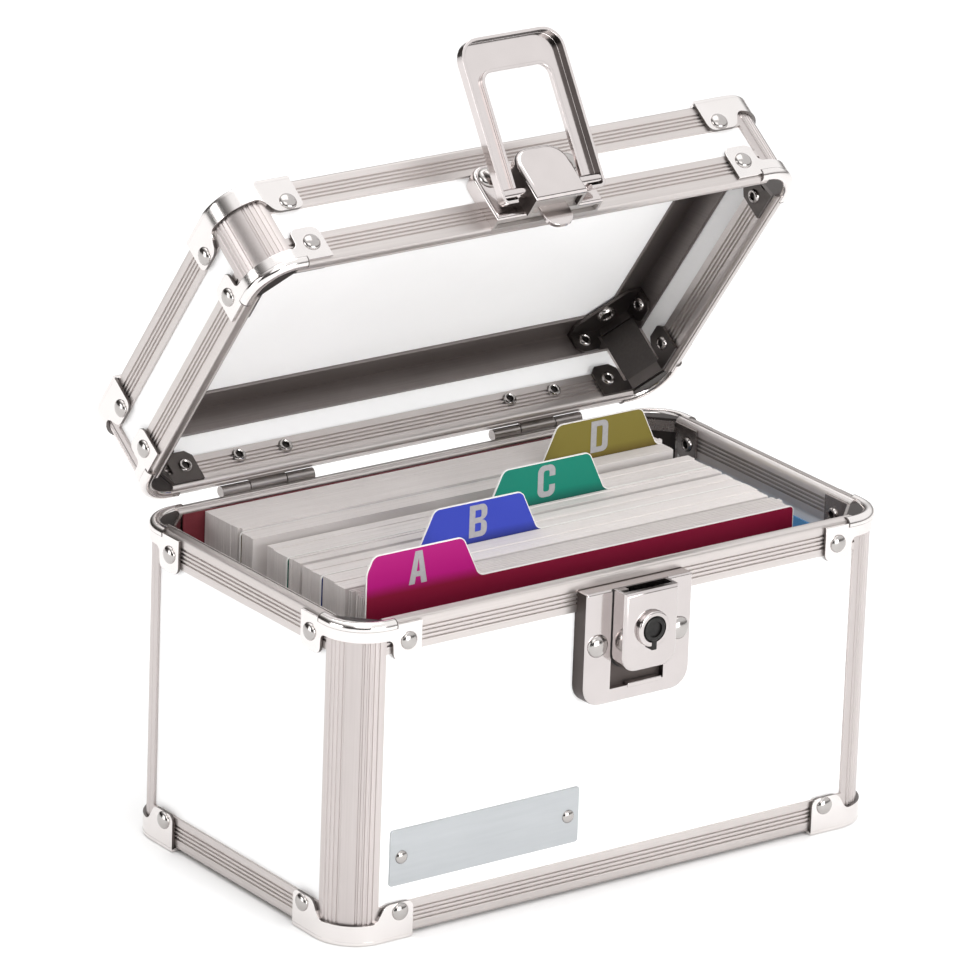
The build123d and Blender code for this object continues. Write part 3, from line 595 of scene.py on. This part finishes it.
def rolled_tail(radius, height):
    """A rolled rivet end, a ring round a hollow."""
    drawn = bmesh.new()
    turned = [(0, 0.1), (0.42, 0.1), (0.5, 0.75), (0.62, 1), (0.8, 0.9), (0.95, 0.5), (1, 0), (0, 0)]
    verts = [drawn.verts.new((r * radius, 0, z * height)) for r, z in turned]
    edges = [drawn.edges.new(pair) for pair in zip(verts, verts[1:])]
    bmesh.ops.spin(
        drawn, geom=verts + edges, cent=(0, 0, 0), axis=(0, 0, 1), angle=2 * math.pi, steps=20,
        use_merge=True,
    )
    bmesh.ops.remove_doubles(drawn, verts=drawn.verts, dist=1e-4)
    # The hollow inside the ring takes the second finish, painted dark as shade.
    for face in drawn.faces:
        middle = face.calc_center_median()
        face.material_index = int(middle.z > 0 and middle.xy.length < radius * 0.46)
    return kept(drawn, "tail")


head_shape = dome(2.25, 1.1)
tail_shape = rolled_tail(1.9, 0.7)
outwards = Matrix.Rotation(math.pi / 2, 4, "X")
inwards = Matrix.Rotation(-math.pi / 2, 4, "X")
rivet_finish = nickel("polished_rivet", (0.40, 0.38, 0.37, 1), (0.50, 0.475, 0.46, 1), 0.12)
painted_shade_hollow = nickel("rivet_hollow_painted_shade", (0.03, 0.027, 0.026, 1), (0.06, 0.054, 0.052, 1), 0.4)


def set_rivet(drawn, spot, outer, inner, matrix, head=head_shape):
    """One rivet through a wall: a head on the outer face and a rolled tail on the inner face."""
    along, up = spot
    stamp(drawn, head, matrix @ Matrix.Translation((along, -outer, up)) @ outwards)
    stamp(drawn, tail_shape, matrix @ Matrix.Translation((along, inner, up)) @ inwards)


def set_rivets(node, drawn, body):
    """The rivets of one node as one piece."""
    set_piece(f"{node}_domed", drawn, body, [rivet_finish, painted_shade_hollow], [node])


hinge_spots = [
    (middle + side * hinge_rivet_side, hinge_rivet)
    for middle in (-hinge_middle, hinge_middle)
    for side in (-1, 1)
]
for body, rim_place, edge_place in (("body", body_rim, body_base), ("lid", lid_rim, lid_top)):
    drawn = bmesh.new()
    for length, wall in wall_places.values():
        for end in (-1, 1):
            along = end * (length / 2 - rivet_inset)
            set_rivet(drawn, (along, rim_rivet), cap_face, bracket_face, wall @ rim_place)
            set_rivet(drawn, (along, edge_rivet), cap_face, bracket_face, wall @ edge_place)
    for spot in hinge_spots:
        set_rivet(drawn, spot, leaf_face, rail_deep, wall_places["rear"][1] @ rim_place)
    if body == "lid":
        top_tail = rolled_tail(2.6, 1.0)
        for along in (-1, 1):
            for across in (-1, 1):
                x = along * (half_width - top_rivet_inset)
                y = across * (half_depth - top_rivet_inset)
                stamp(drawn, top_tail, lid_top @ Matrix.Translation((x, y, bracket_face)))
    set_rivets(f"{body}_rivets", drawn, body)

# Hinges of plated steel on the rear wall, two leaves and a pin each, and the steel bolt inside the lock.
# They are small and plain, so the model's own leaves and pins are shown.
hinge_finish = nickel("plated_steel", (0.30, 0.275, 0.265, 1), (0.46, 0.43, 0.415, 1), 0.26)
for node in ("hinge_lower_leaves", "hinge_upper_leaves", "hinge_pins", "lock_bolt"):
    paint(node, hinge_finish)

# Lock on the front: a pressed pan riveted to the wall, a deeper case over it that is open at the top for the
# hasp's tongue, a turned collar and a black key plug. All but the plug are chromed.
latch_x = 1.4
pan_back = -0.7
pan_round = 0.9
plate_proud = 3.9
front_wall = Matrix.Translation((latch_x, -half_depth, 0))
chrome = nickel("bright_chrome", (0.60, 0.555, 0.545, 1), (0.68, 0.632, 0.622, 1), 0.06)
lock_chrome = nickel("lock_chrome", (0.53, 0.492, 0.485, 1), (0.60, 0.56, 0.552, 1), 0.06)
# A dark copy of the chrome, painted shade for shaded sides and the sunk window.
pan_side = nickel("shaded_pan_side", (0.06, 0.05, 0.047, 1), (0.10, 0.085, 0.08, 1), 0.4)


def oblong(left, right, low, high, low_round, high_round):
    """The outline of an oblong as x, z and corner radius."""
    return [
        (left, low, low_round), (right, low, low_round), (right, high, high_round), (left, high, high_round),
    ]


def pressing(outline, back, front, edge_round):
    """A pressed form: an outline of x, z and corner radius, raised between two depths before the wall."""
    drawn = bmesh.new()
    corners = [drawn.verts.new((x, -back, z)) for x, z, radius in outline]
    drawn.faces.new(corners)
    for vert, (x, z, radius) in zip(corners, outline):
        if radius:
            round_corner(drawn, vert, radius)
    front_faces = grow(drawn, drawn.faces[:], (0, back - front, 0))
    rim = [edge for face in front_faces for edge in face.edges]
    round_edges(drawn, rim, edge_round, 4)
    bmesh.ops.recalc_face_normals(drawn, faces=drawn.faces)
    return drawn


def inset(drawn, face, width):
    """Leaves a rim of one width inside a face, and returns that rim."""
    rim = bmesh.ops.inset_region(
        drawn, faces=[face], thickness=width, use_even_offset=True, use_boundary=True,
    )
    return rim["faces"]


lock_half = 15.65
lock_top = rim_z - 3.0
lock_foot = lock_top - 28.9
case_half = 7.9
case_top = rim_z - 2.9
case_bottom = case_top - 20.1
case_front = 9.0
lock_pan = pressing(
    oblong(-lock_half, lock_half, lock_foot, lock_top, 5.0, 0.6), pan_back, plate_proud, pan_round,
)
window_top = case_bottom + 2
window_bottom = case_bottom - 5.3
window_sink = 1.6
for point, normal in (
    ((-case_half, 0, 0), (1, 0, 0)), ((case_half, 0, 0), (1, 0, 0)),
    ((0, 0, window_top), (0, 0, 1)), ((0, 0, window_bottom), (0, 0, 1)),
):
    flat = [
        face for face in lock_pan.faces
        if abs(face.normal.y) > 0.99 and face.calc_center_median().y < -plate_proud + 0.01
    ]
    edges = {edge for face in flat for edge in face.edges}
    verts = {vert for face in flat for vert in face.verts}
    bmesh.ops.bisect_plane(
        lock_pan, geom=[*flat, *edges, *verts], dist=1e-5, plane_co=point, plane_no=normal,
    )
window_middle = Vector((0, -plate_proud, (window_top + window_bottom) / 2))
window = min(lock_pan.faces, key=lambda face: (face.calc_center_median() - window_middle).length)
sunk = grow(lock_pan, [window], (0, window_sink, 0))
bmesh.ops.recalc_face_normals(lock_pan, faces=lock_pan.faces)
# The pan's sides and underside take the second finish, painted dark as shade; its top stays bright.
for face in lock_pan.faces:
    face.material_index = int(abs(face.normal.y) < 0.2 and face.normal.z < 0.5)
# The sunk window's floor is painted dark as shade.
sunk[0].material_index = 1
lip_half = 0.6
window_lip = pressing(
    oblong(-2.6, 7.4, window_bottom - lip_half, window_bottom + lip_half, 0, 0.3),
    2.6, plate_proud + 0.25, 0.25,
)
stamp(lock_pan, kept(window_lip, "window_lip"))
bmesh.ops.transform(lock_pan, matrix=front_wall, verts=lock_pan.verts)
set_piece("lock_plate_pressed", lock_pan, "body", [lock_chrome, pan_side], ["lock_plate"])

sharp_edge = 0.02
lock_box = pressing(
    oblong(-case_half, case_half, case_bottom, case_top, 4.0, 0), plate_proud, case_front, 1.1,
)
# A black outline a little larger than the case, just proud of the pan: painted shadow in the joint round the
# case.
gap = 0.3
case_shadow_line = pressing(
    oblong(-case_half - gap, case_half + gap, case_bottom - gap, case_top, 4.2, 0),
    plate_proud - gap, plate_proud + 0.04, sharp_edge,
)
for face in case_shadow_line.faces:
    face.material_index = 1
case_wall = 0.8
well_rear = plate_proud + 0.15
well_depth = 7.0
top_face = max(lock_box.faces, key=lambda face: face.normal.z * 1000 + face.calc_area())
inset(lock_box, top_face, case_wall)
for vert in top_face.verts:
    if vert.co.y > -5.0:
        vert.co.y = -well_rear
well = grow(lock_box, [top_face], (0, 0, -well_depth))
well[0].material_index = 1
stamp(lock_box, kept(case_shadow_line, "case_shadow_line"))


def end_face(drawn):
    """The flat upper end of a turned piece."""
    return max(drawn.faces, key=lambda face: face.calc_center_median().z + 0.001 * face.calc_area())


turned_rim = 0.7
collar = bmesh.new()
bmesh.ops.create_cone(collar, cap_ends=True, segments=48, radius1=4.6, radius2=4.4, depth=1.3)
soften(collar, 0.35, steps=3)
collar_end = end_face(collar)
inset(collar, collar_end, turned_rim)
bore = grow(collar, [collar_end], (0, 0, -0.7))
bore[0].material_index = 1
plug_z = rim_z - 12.5
collar_middle = 9.6
plug_middle = 7.2
slit_half = 0.75
stamp(lock_box, kept(collar, "collar"), Matrix.Translation((0, -collar_middle, plug_z)) @ outwards)
keyway = pressing(
    oblong(-slit_half, slit_half, plug_z - 5.2, plug_z - 2, 0.2, 0), 8.9, 10.28, sharp_edge,
)
for face in keyway.faces:
    face.material_index = 1
stamp(lock_box, kept(keyway, "keyway"))
bmesh.ops.transform(lock_box, matrix=front_wall, verts=lock_box.verts)

plug_finish, shader, place = start_finish("black_plug", Metallic=0.6)
wear = place.add("ShaderNodeTexNoise", {"Vector": place, "Scale": 900.0, "Detail": 3.0})
feed(
    shader,
    Base_Color=blend(wear, (0.006, 0.006, 0.006, 1), (0.03, 0.028, 0.027, 1)),
    Roughness=wear * 0.2 + 0.25,
)
set_piece("lock_case_pressed", lock_box, "body", [lock_chrome, plug_finish], ["lock_case"])
plug = bmesh.new()
bmesh.ops.create_cone(plug, cap_ends=True, segments=48, radius1=3.0, radius2=3.0, depth=6.5)
soften(plug, 0.3, steps=3)
plug_end = end_face(plug)
inset(plug, plug_end, turned_rim)
grow(plug, [plug_end], (0, 0, -0.5))
plug_shape = kept(plug, "plug")
drawn = bmesh.new()
stamp(drawn, plug_shape, front_wall @ Matrix.Translation((0, -plug_middle, plug_z)) @ outwards)
set_piece("lock_plug_turned", drawn, "plug", [plug_finish], ["lock_plug"])

# Hasp on the lid: a pressed pan, a hood that stands out over the ring's pivot, and a tongue that drops into
# the lock case when the lid shuts. All are chromed and riveted to the lid, and drawn with the lid closed.
hasp_half = 15.5
hasp_foot = lid_rim_z + 0.2
hasp_top = hasp_foot + 16
hood_half = 7.5
hood_foot = lid_rim_z - 0.5
hood_top = hood_foot + 15
hood_front = 10.7
hollow_depth = 1.2
# A darker, duller copy of the chrome, painted shade for the hollow under the hasp's pan and hood.
shaded_hollow_finish = nickel("shaded_hollow_finish", (0.50, 0.475, 0.46, 1), (0.60, 0.57, 0.555, 1), 0.42)


def hollow_foot(drawn, wall):
    """Opens a pressing at its foot: a wall is left round a shallow hollow, and both are painted darker as
    shade.
    """
    foot = min(drawn.faces, key=lambda face: face.normal.z * 1000 - face.calc_area())
    rim = inset(drawn, foot, wall)
    roof = grow(drawn, [foot], (0, 0, hollow_depth))
    for face in {near for edge in roof[0].edges for near in edge.link_faces} | set(rim):
        face.material_index = 1


hasp_pan = pressing(
    oblong(-hasp_half, hasp_half, hasp_foot, hasp_top, 0, 4.0), pan_back, plate_proud, pan_round,
)
hollow_foot(hasp_pan, 0.7)
bmesh.ops.transform(hasp_pan, matrix=front_wall, verts=hasp_pan.verts)
set_piece("latch_plate_pressed", hasp_pan, "lid", [chrome, shaded_hollow_finish], ["latch_plate"])

hood = pressing(oblong(-hood_half, hood_half, hood_foot, hood_top, 0, 5.0), plate_proud, hood_front, 1.3)
hollow_foot(hood, 0.8)
# The hood's left flank takes the third finish, painted dark as shade.
for face in hood.faces:
    if face.normal.x < -0.95:
        face.material_index = 2
tongue_tip = lid_rim_z - 5.4
tongue = pressing(oblong(-4, 4, tongue_tip, hood_foot + 1.6, 3.2, 0), 4.2, 5.2, 0.2)
stamp(hood, kept(tongue, "tongue"))
bmesh.ops.transform(hood, matrix=front_wall, verts=hood.verts)
hood_finishes = [chrome, shaded_hollow_finish, pan_side]
set_piece("latch_hood_pressed", hood, "lid", hood_finishes, ["latch_hood"])

# Rivets of the lock and the hasp, two through each pan and the wall behind it.
# They are of the same plated steel as the corners' rivets, with larger and higher domes.
plate_head = dome(2.9, 1.5)
wall_back = 2.75
for node, body, aside, up in (
    ("lock_rivets", "body", 12.0, rim_z - 16.5),
    ("latch_rivets", "lid", 11.5, lid_rim_z + 12.2),
):
    drawn = bmesh.new()
    for side in (-1, 1):
        set_rivet(drawn, (side * aside, up), plate_proud, wall_back, front_wall, plate_head)
    set_rivets(node, drawn, body)

# Ring handle: chromed sheet pressed to a channel in the shape of a U, on a rod through the hood.
# It is raised on its stop, so its hollow side looks to the front.
pivot = Vector((latch_x, -half_depth - 7.6, lid_rim_z + 3.9))
raised_angle = math.radians(157.3)
ring_half = 15
ring_inside = 9.6
ring_ends = 2.4
ring_reach = -38.4
opening_reach = -29.8
ring_deep = 1.5
end_round = 1.5
ring_wall = 0.8
channel_depth = 2.2
inner_wall_edge = 0.25
ring_outline = [
    (-ring_half, ring_ends, end_round), (-ring_half, ring_reach, 5.5),
    (ring_half, ring_reach, 5.5), (ring_half, ring_ends, end_round),
    (ring_inside, ring_ends, end_round), (ring_inside, opening_reach, 2.6),
    (-ring_inside, opening_reach, 2.6), (-ring_inside, ring_ends, end_round),
]


def rear_face(drawn):
    """The flat face of a pressing that looks to the rear."""
    return max(drawn.faces, key=lambda face: (round(face.calc_center_median().y, 3), face.calc_area()))


ring = pressing(ring_outline, -ring_deep, ring_deep, 0.7)
open_side = rear_face(ring)
inset(ring, open_side, ring_wall)
web = grow(ring, [open_side], (0, -channel_depth, 0))
for vert in ring.verts:
    near_opening = abs(vert.co.x) < ring_inside + 1 and vert.co.z > opening_reach - 1
    if near_opening and vert.co.y > ring_deep - 0.01:
        vert.co.y = inner_wall_edge
for face in {near for edge in web[0].edges for near in edge.link_faces} - set(web):
    face.material_index = int(face.calc_center_median().y > 0)
rolled = [edge for edge in ring.edges if min(vert.co.y for vert in edge.verts) > 0.2]
rolled = [edge for edge in rolled if edge.calc_face_angle() > 0.9]
round_edges(ring, rolled + list(web[0].edges), 0.34, 3)
rod = bmesh.new()
bmesh.ops.create_cone(rod, cap_ends=True, segments=24, radius1=1.4, radius2=1.4, depth=29.2)
stamp(ring, kept(rod, "rod"), Matrix.Rotation(math.pi / 2, 4, "Y"))
raised = Matrix.Translation(pivot) @ Matrix.Rotation(-raised_angle, 4, "X")
bmesh.ops.transform(ring, matrix=raised, verts=ring.verts)
channel_shade = nickel("shaded_channel", (0.05, 0.044, 0.042, 1), (0.11, 0.099, 0.095, 1), 0.16)
set_piece("handle_ring_pressed", ring, "handle", [chrome, channel_shade], ["handle_ring"])

# Name plate: thin satin sheet with a cool grey tone, cut with small round corners and left bare.
# Two small domed rivets hold it to the front wall.
plate_finish = drawn_metal(
    "cool_satin_plate", (60, 900, 900), 0, (0.40, 0.415, 0.43, 1), (0.50, 0.517, 0.53, 1), 0.3,
)
plate_back = -0.75
plate_front = -0.25
plate_corner = 0.8
plate_place = wall_places["front"][1]
plate = pressing(oblong(-66, -11, 13.5, 27.7, plate_corner, plate_corner), plate_back, plate_front, 0.12)
bmesh.ops.transform(plate, matrix=plate_place, verts=plate.verts)
set_piece("name_plate_bare", plate, "body", [plate_finish], ["name_plate"])
small_head = dome(1.7, 0.8)
drawn = bmesh.new()
for along in (-62.8, -14.2):
    set_rivet(drawn, (along, 20.6), plate_front, wall_back, plate_place, small_head)
set_rivets("name_plate_rivets", drawn, "body")

# Index cards: stiff white card, cut square and standing in packs between the guides.
# Each card is its own sheet, a little out of line with the next, and the few in front stand loose.
card_finish, shader, place = start_finish("white_card")
cut_edge = place.add("ShaderNodeMapping", {"Vector": place, "Scale": (40, 2600, 40)})
shade = place.add("ShaderNodeTexNoise", {"Vector": cut_edge, "Scale": 1.0, "Detail": 2.0})
fibre = place.add("ShaderNodeTexNoise", {"Vector": place, "Scale": 3000.0, "Detail": 2.0})
rough = place.add("ShaderNodeBump", {"Height": fibre, "Strength": 0.1, "Distance": 0.00005})
feed(
    shader,
    Base_Color=blend(shade, (0.63, 0.588, 0.572, 1), (0.77, 0.728, 0.71, 1)),
    Roughness=fibre * 0.2 + 0.65,
    Normal=rough,
)
card_width = 127.0
card_height = 76.2
card_x = 0.3
floor_z = 3.55
ledge_z = 4.3
deck_front = -27.8
deck_depth = 67.0
pack_shares = [
    (0, 0.118), (0.125, 0.276), (0.276, 0.4), (0.418, 0.488), (0.488, 0.633), (0.697, 0.782), (0.782, 1.015),
]
pack_gap = 0.4
card_thick = 0.27
card_room = card_thick + 0.01
card_inset = 1.2
loose_cards = 8
chance = random.Random(7)


def next_block():
    """How far the next few cards stand out of line, sideways and downwards."""
    return chance.uniform(-0.5, 0.5), chance.uniform(0, 0.4)


drawn = bmesh.new()
for number, (start_share, end_share) in enumerate(pack_shares):
    start = deck_front + start_share * deck_depth + pack_gap
    end = deck_front + end_share * deck_depth - pack_gap
    stand = ledge_z if number == len(pack_shares) - 1 else floor_z
    loose = number == 0
    count = loose_cards if loose else round((end - start) / card_room)
    block_shift, block_drop = next_block()
    for order in range(count):
        if chance.random() < 0.05:
            block_shift, block_drop = next_block()
        y = start + (order + 0.5) * (end - start) / count
        shift = chance.uniform(-0.6, 0.6) if loose else block_shift + chance.uniform(-0.05, 0.05)
        height = card_height - block_drop - chance.uniform(0, 0.06)
        size = Matrix.Diagonal((card_width - card_inset, card_thick, height, 1))
        spot = Matrix.Translation((card_x + shift, y, stand + height / 2))
        bmesh.ops.create_cube(drawn, size=1, matrix=spot @ size)
set_piece("index_cards", drawn, "body", [card_finish], ["card_packs"])

# Guides of coloured card, one behind the other, each with a cut tab and a letter.
# Their cut edges show white, and the colour is deeper below the tabs.
guide_shares = {"a": 0.0, "b": 0.276, "c": 0.488, "d": 0.782}
guide_tones = {
    "a": ((0.21, 0.005, 0.03, 1), (0.37, 0.003, 0.155, 1), "guide_magenta"),
    "b": ((0.016, 0.024, 0.16, 1), (0.035, 0.055, 0.40, 1), "guide_blue"),
    "c": ((0.002, 0.08, 0.06, 1), (0.004, 0.19, 0.13, 1), "guide_green"),
    "d": ((0.10, 0.065, 0.012, 1), (0.19, 0.155, 0.03, 1), "guide_gold"),
}
edge_finish, shader, place = start_finish("guide_edge")
speck = place.add("ShaderNodeTexNoise", {"Vector": place, "Scale": 2000.0})
feed(
    shader,
    Base_Color=blend(speck, (0.72, 0.70, 0.68, 1), (0.85, 0.83, 0.81, 1)),
    Roughness=speck * 0.2 + 0.5,
)
letter_finish, shader, place = start_finish("printed_letter")
ink = place.add("ShaderNodeTexNoise", {"Vector": place, "Scale": 1500.0})
feed(
    shader,
    Base_Color=blend(ink, (0.29, 0.285, 0.295, 1), (0.40, 0.39, 0.40, 1)),
    Roughness=ink * 0.2 + 0.45,
)
letter_width = 5.2
letter_height = 8.2
stem = 1.7
bar = 1.4
inside = letter_width - stem


def bowl(low, high, low_bar, high_bar):
    """The round side of a letter, from its stem."""
    return [
        (stem, low, 0), (letter_width, low, 1.6), (letter_width, high, 1.6), (stem, high, 0),
        (stem, high - high_bar, 0), (inside, high - high_bar, 0.4), (inside, low + low_bar, 0.4),
        (stem, low + low_bar, 0),
    ]


half = letter_width / 2
half_of_a = [
    (0, 0, 0), (half - 1.0, letter_height, 0), (half, letter_height, 0), (half, 6.4, 0),
    (half - 0.45, 3.1, 0), (half, 3.1, 0), (half, 1.8, 0), (half - 0.65, 1.8, 0), (half - 0.95, 0, 0),
]
upright = oblong(0, stem, 0, letter_height, 0, 0)
letter_strokes = {
    "a": [half_of_a, [(letter_width - x, z, radius) for x, z, radius in half_of_a]],
    "b": [upright, bowl(0, 4.2, bar, bar / 2), bowl(4.2, letter_height, bar / 2, bar)],
    "c": [[
        (letter_width, 0, 1.8), (letter_width, 3.0, 0), (inside, 3.0, 0), (inside, bar, 0.6),
        (stem, bar, 0.6), (stem, letter_height - bar, 0.6), (inside, letter_height - bar, 0.6),
        (inside, 5.2, 0), (letter_width, 5.2, 0), (letter_width, letter_height, 1.8),
        (0, letter_height, 1.8), (0, 0, 1.8),
    ]],
    "d": [upright, bowl(0, letter_height, bar, bar)],
}
card_left = card_x - card_width / 2
card_right = card_x + card_width / 2
card_top = floor_z + card_height
tab_rise = 10.5
tab_width = 25.8
tab_slope = 5.0
tab_round = 1.4
first_tab = 2.0
tab_step = 30.6
guide_half = 0.2
ink_front = 0.24
letter_foot = 1.3


def front_face(drawn):
    """The flat face of a pressing that looks to the front."""
    return min(drawn.faces, key=lambda face: (round(face.calc_center_median().y, 3), -face.calc_area()))


for order, (letter, share) in enumerate(guide_shares.items()):
    deep, bright, slot = guide_tones[letter]
    tab_left = card_left + first_tab + order * tab_step
    tab_right = tab_left + tab_width
    outline = [
        (card_left, floor_z, 1), (card_right, floor_z, 1), (card_right, card_top, 1.2),
        (tab_right + tab_slope, card_top, tab_round), (tab_right, card_top + tab_rise, tab_round),
        (tab_left, card_top + tab_rise, tab_round),
    ]
    if order:
        outline += [(tab_left - tab_slope, card_top, tab_round), (card_left, card_top, 1.2)]
    else:
        outline += [(card_left, card_top + tab_rise * (1 - first_tab / tab_slope), 1.0)]
    drawn = pressing(outline, -guide_half, guide_half, 0.03)
    flat = front_face(drawn)
    inset(drawn, flat, 0.2)
    back = rear_face(drawn)
    for face in drawn.faces:
        face.material_index = int(face not in (flat, back))
    place_y = deck_front + share * deck_depth
    bmesh.ops.translate(drawn, vec=(0, place_y, 0), verts=drawn.verts)
    finish, shader, place = start_finish(f"guide_card_{letter}", Specular_IOR_Level=0.25)
    height = place.add("ShaderNodeSeparateXYZ", {"Vector": place}, output="Z")
    mist = place.add("ShaderNodeTexNoise", {"Vector": place, "Scale": 45.0, "Detail": 2.0})
    weave = place.add("ShaderNodeTexNoise", {"Vector": place, "Scale": 3500.0, "Detail": 2.0})
    level = height * 1000 - card_top + mist * 1.5
    mask = place.add("ShaderNodeMapRange", {"Value": level, "From Min": 0.4, "From Max": 3.4})
    grain = place.add("ShaderNodeBump", {"Height": weave, "Strength": 0.08, "Distance": 0.00004})
    feed(shader, Base_Color=blend(mask, deep, bright), Roughness=weave * 0.15 + 0.36, Normal=grain)
    set_piece(f"guide_{letter}_card", drawn, "body", [finish, edge_finish], [f"divider_{letter}"])

    drawn = bmesh.new()
    for stroke in letter_strokes[letter]:
        stamp(drawn, kept(pressing(stroke, guide_half, ink_front, 0.005), "stroke"))
    letter_left = (tab_left + tab_right - letter_width) / 2
    on_tab = Matrix.Translation((letter_left, place_y, card_top + letter_foot))
    bmesh.ops.transform(drawn, matrix=on_tab, verts=drawn.verts)
    set_piece(f"tab_letter_{letter}", drawn, "body", [letter_finish], [])

# A dark red guide behind the last pack and a light blue slip along the right wall: plain sheets of coloured
# card without tabs, standing loose. The model's own sheets are shown.
for node, low, high in (
    ("rear_guide", (0.10, 0.006, 0.012, 1), (0.17, 0.012, 0.022, 1)),
    ("side_slip", (0.10, 0.36, 0.74, 1), (0.17, 0.46, 0.85, 1)),
):
    finish, shader, place = start_finish(f"{node}_card")
    mist = place.add("ShaderNodeTexNoise", {"Vector": place, "Scale": 300.0, "Detail": 3.0})
    fibre = place.add("ShaderNodeTexNoise", {"Vector": place, "Scale": 3000.0})
    grain = place.add("ShaderNodeBump", {"Height": fibre, "Strength": 0.08, "Distance": 0.00004})
    feed(shader, Base_Color=blend(mist, low, high), Roughness=fibre * 0.2 + 0.45, Normal=grain)
    paint(node, finish)

# Pale floor, soft studio light and a long lens at the photograph's angle. The studio is bright overhead, and
# darker low down and to the left, so that bright metal has something to reflect.
ground = bmesh.new()
bmesh.ops.create_grid(ground, x_segments=1, y_segments=1, size=6)
ground_mesh = bpy.data.meshes.new("pale_floor")
ground.to_mesh(ground_mesh)
ground.free()
floor = bpy.data.objects.new("pale_floor", ground_mesh)
bpy.context.scene.collection.objects.link(floor)
floor_finish, shader, place = start_finish("floor_paper", Roughness=0.9)
drift = place.add("ShaderNodeTexNoise", {"Vector": place, "Scale": 3.0})
feed(shader, Base_Color=blend(drift, (0.93, 0.93, 0.93, 1), (0.96, 0.96, 0.96, 1)))
ground_mesh.materials.append(floor_finish)
floor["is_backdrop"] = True

studio = bpy.data.worlds.new("studio")
studio.use_nodes = True
bpy.context.scene.world = studio
sky = Tone(studio.node_tree)
way = sky.add("ShaderNodeTexCoord", {}, output="Generated")
up = sky.add("ShaderNodeSeparateXYZ", {"Vector": way}, output="Z")
rightwards = sky.add("ShaderNodeSeparateXYZ", {"Vector": way}, output="X")
sky_lean = 0.35
sky_strength = 1.15
glow = sky.add(
    "ShaderNodeValToRGB", {"Fac": up + rightwards * sky_lean},
    stops=[
        (0.0, (0.04, 0.037, 0.035, 1)), (0.28, (0.07, 0.065, 0.062, 1)),
        (0.46, (0.40, 0.39, 0.385, 1)), (0.62, (1.0, 1.0, 1.0, 1)),
    ],
)
backdrop = studio.node_tree.nodes["Background"]
studio.node_tree.links.new(glow.socket, backdrop.inputs["Color"])
backdrop.inputs["Strength"].default_value = sky_strength

lit_spot = Vector((0, 0, 0.08))
for name, spot, size, power in (
    ("key_light", (-0.9, -1.3, 1.5), 1.2, 8),
    ("front_light", (0.1, -1.9, 0.35), 1.0, 27),
    ("left_light", (-1.8, 0.3, 0.45), 1.0, 12),
    ("top_light", (0.1, 0.4, 1.8), 1.4, 10),
):
    lamp = bpy.data.lights.new(name, "AREA")
    lamp.size = size
    lamp.energy = power
    held = bpy.data.objects.new(name, lamp)
    bpy.context.scene.collection.objects.link(held)
    held.location = spot
    held.rotation_mode = "QUATERNION"
    held.rotation_quaternion = (lit_spot - Vector(spot)).to_track_quat("-Z", "Y")

photo_width = 970
focal_pixels = 7800
distance = 1.874
aim = Vector((-0.00903, 0, 0.08948))
azimuth = math.radians(-36.47)
rise = math.radians(19.91)
roll = math.radians(2.085)
back = Vector((math.sin(azimuth) * math.cos(rise), -math.cos(azimuth) * math.cos(rise), math.sin(rise)))
right = (-back).cross(Vector((0, 0, 1))).normalized()
upward = right.cross(-back)
rolled_right = right * math.cos(roll) + upward * math.sin(roll)
rolled_up = upward * math.cos(roll) - right * math.sin(roll)
lens = bpy.data.cameras.new("camera")
lens.sensor_fit = "HORIZONTAL"
lens.sensor_width = 36
lens.lens = focal_pixels * lens.sensor_width / photo_width
lens.clip_start = 0.1
lens.clip_end = 50
camera = bpy.data.objects.new("camera", lens)
bpy.context.scene.collection.objects.link(camera)
facing = Matrix((rolled_right, rolled_up, back)).transposed().to_4x4()
camera.matrix_world = Matrix.Translation(aim + back * distance) @ facing
bpy.context.scene.camera = camera
bpy.context.scene.view_settings.view_transform = "Standard"

low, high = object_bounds()
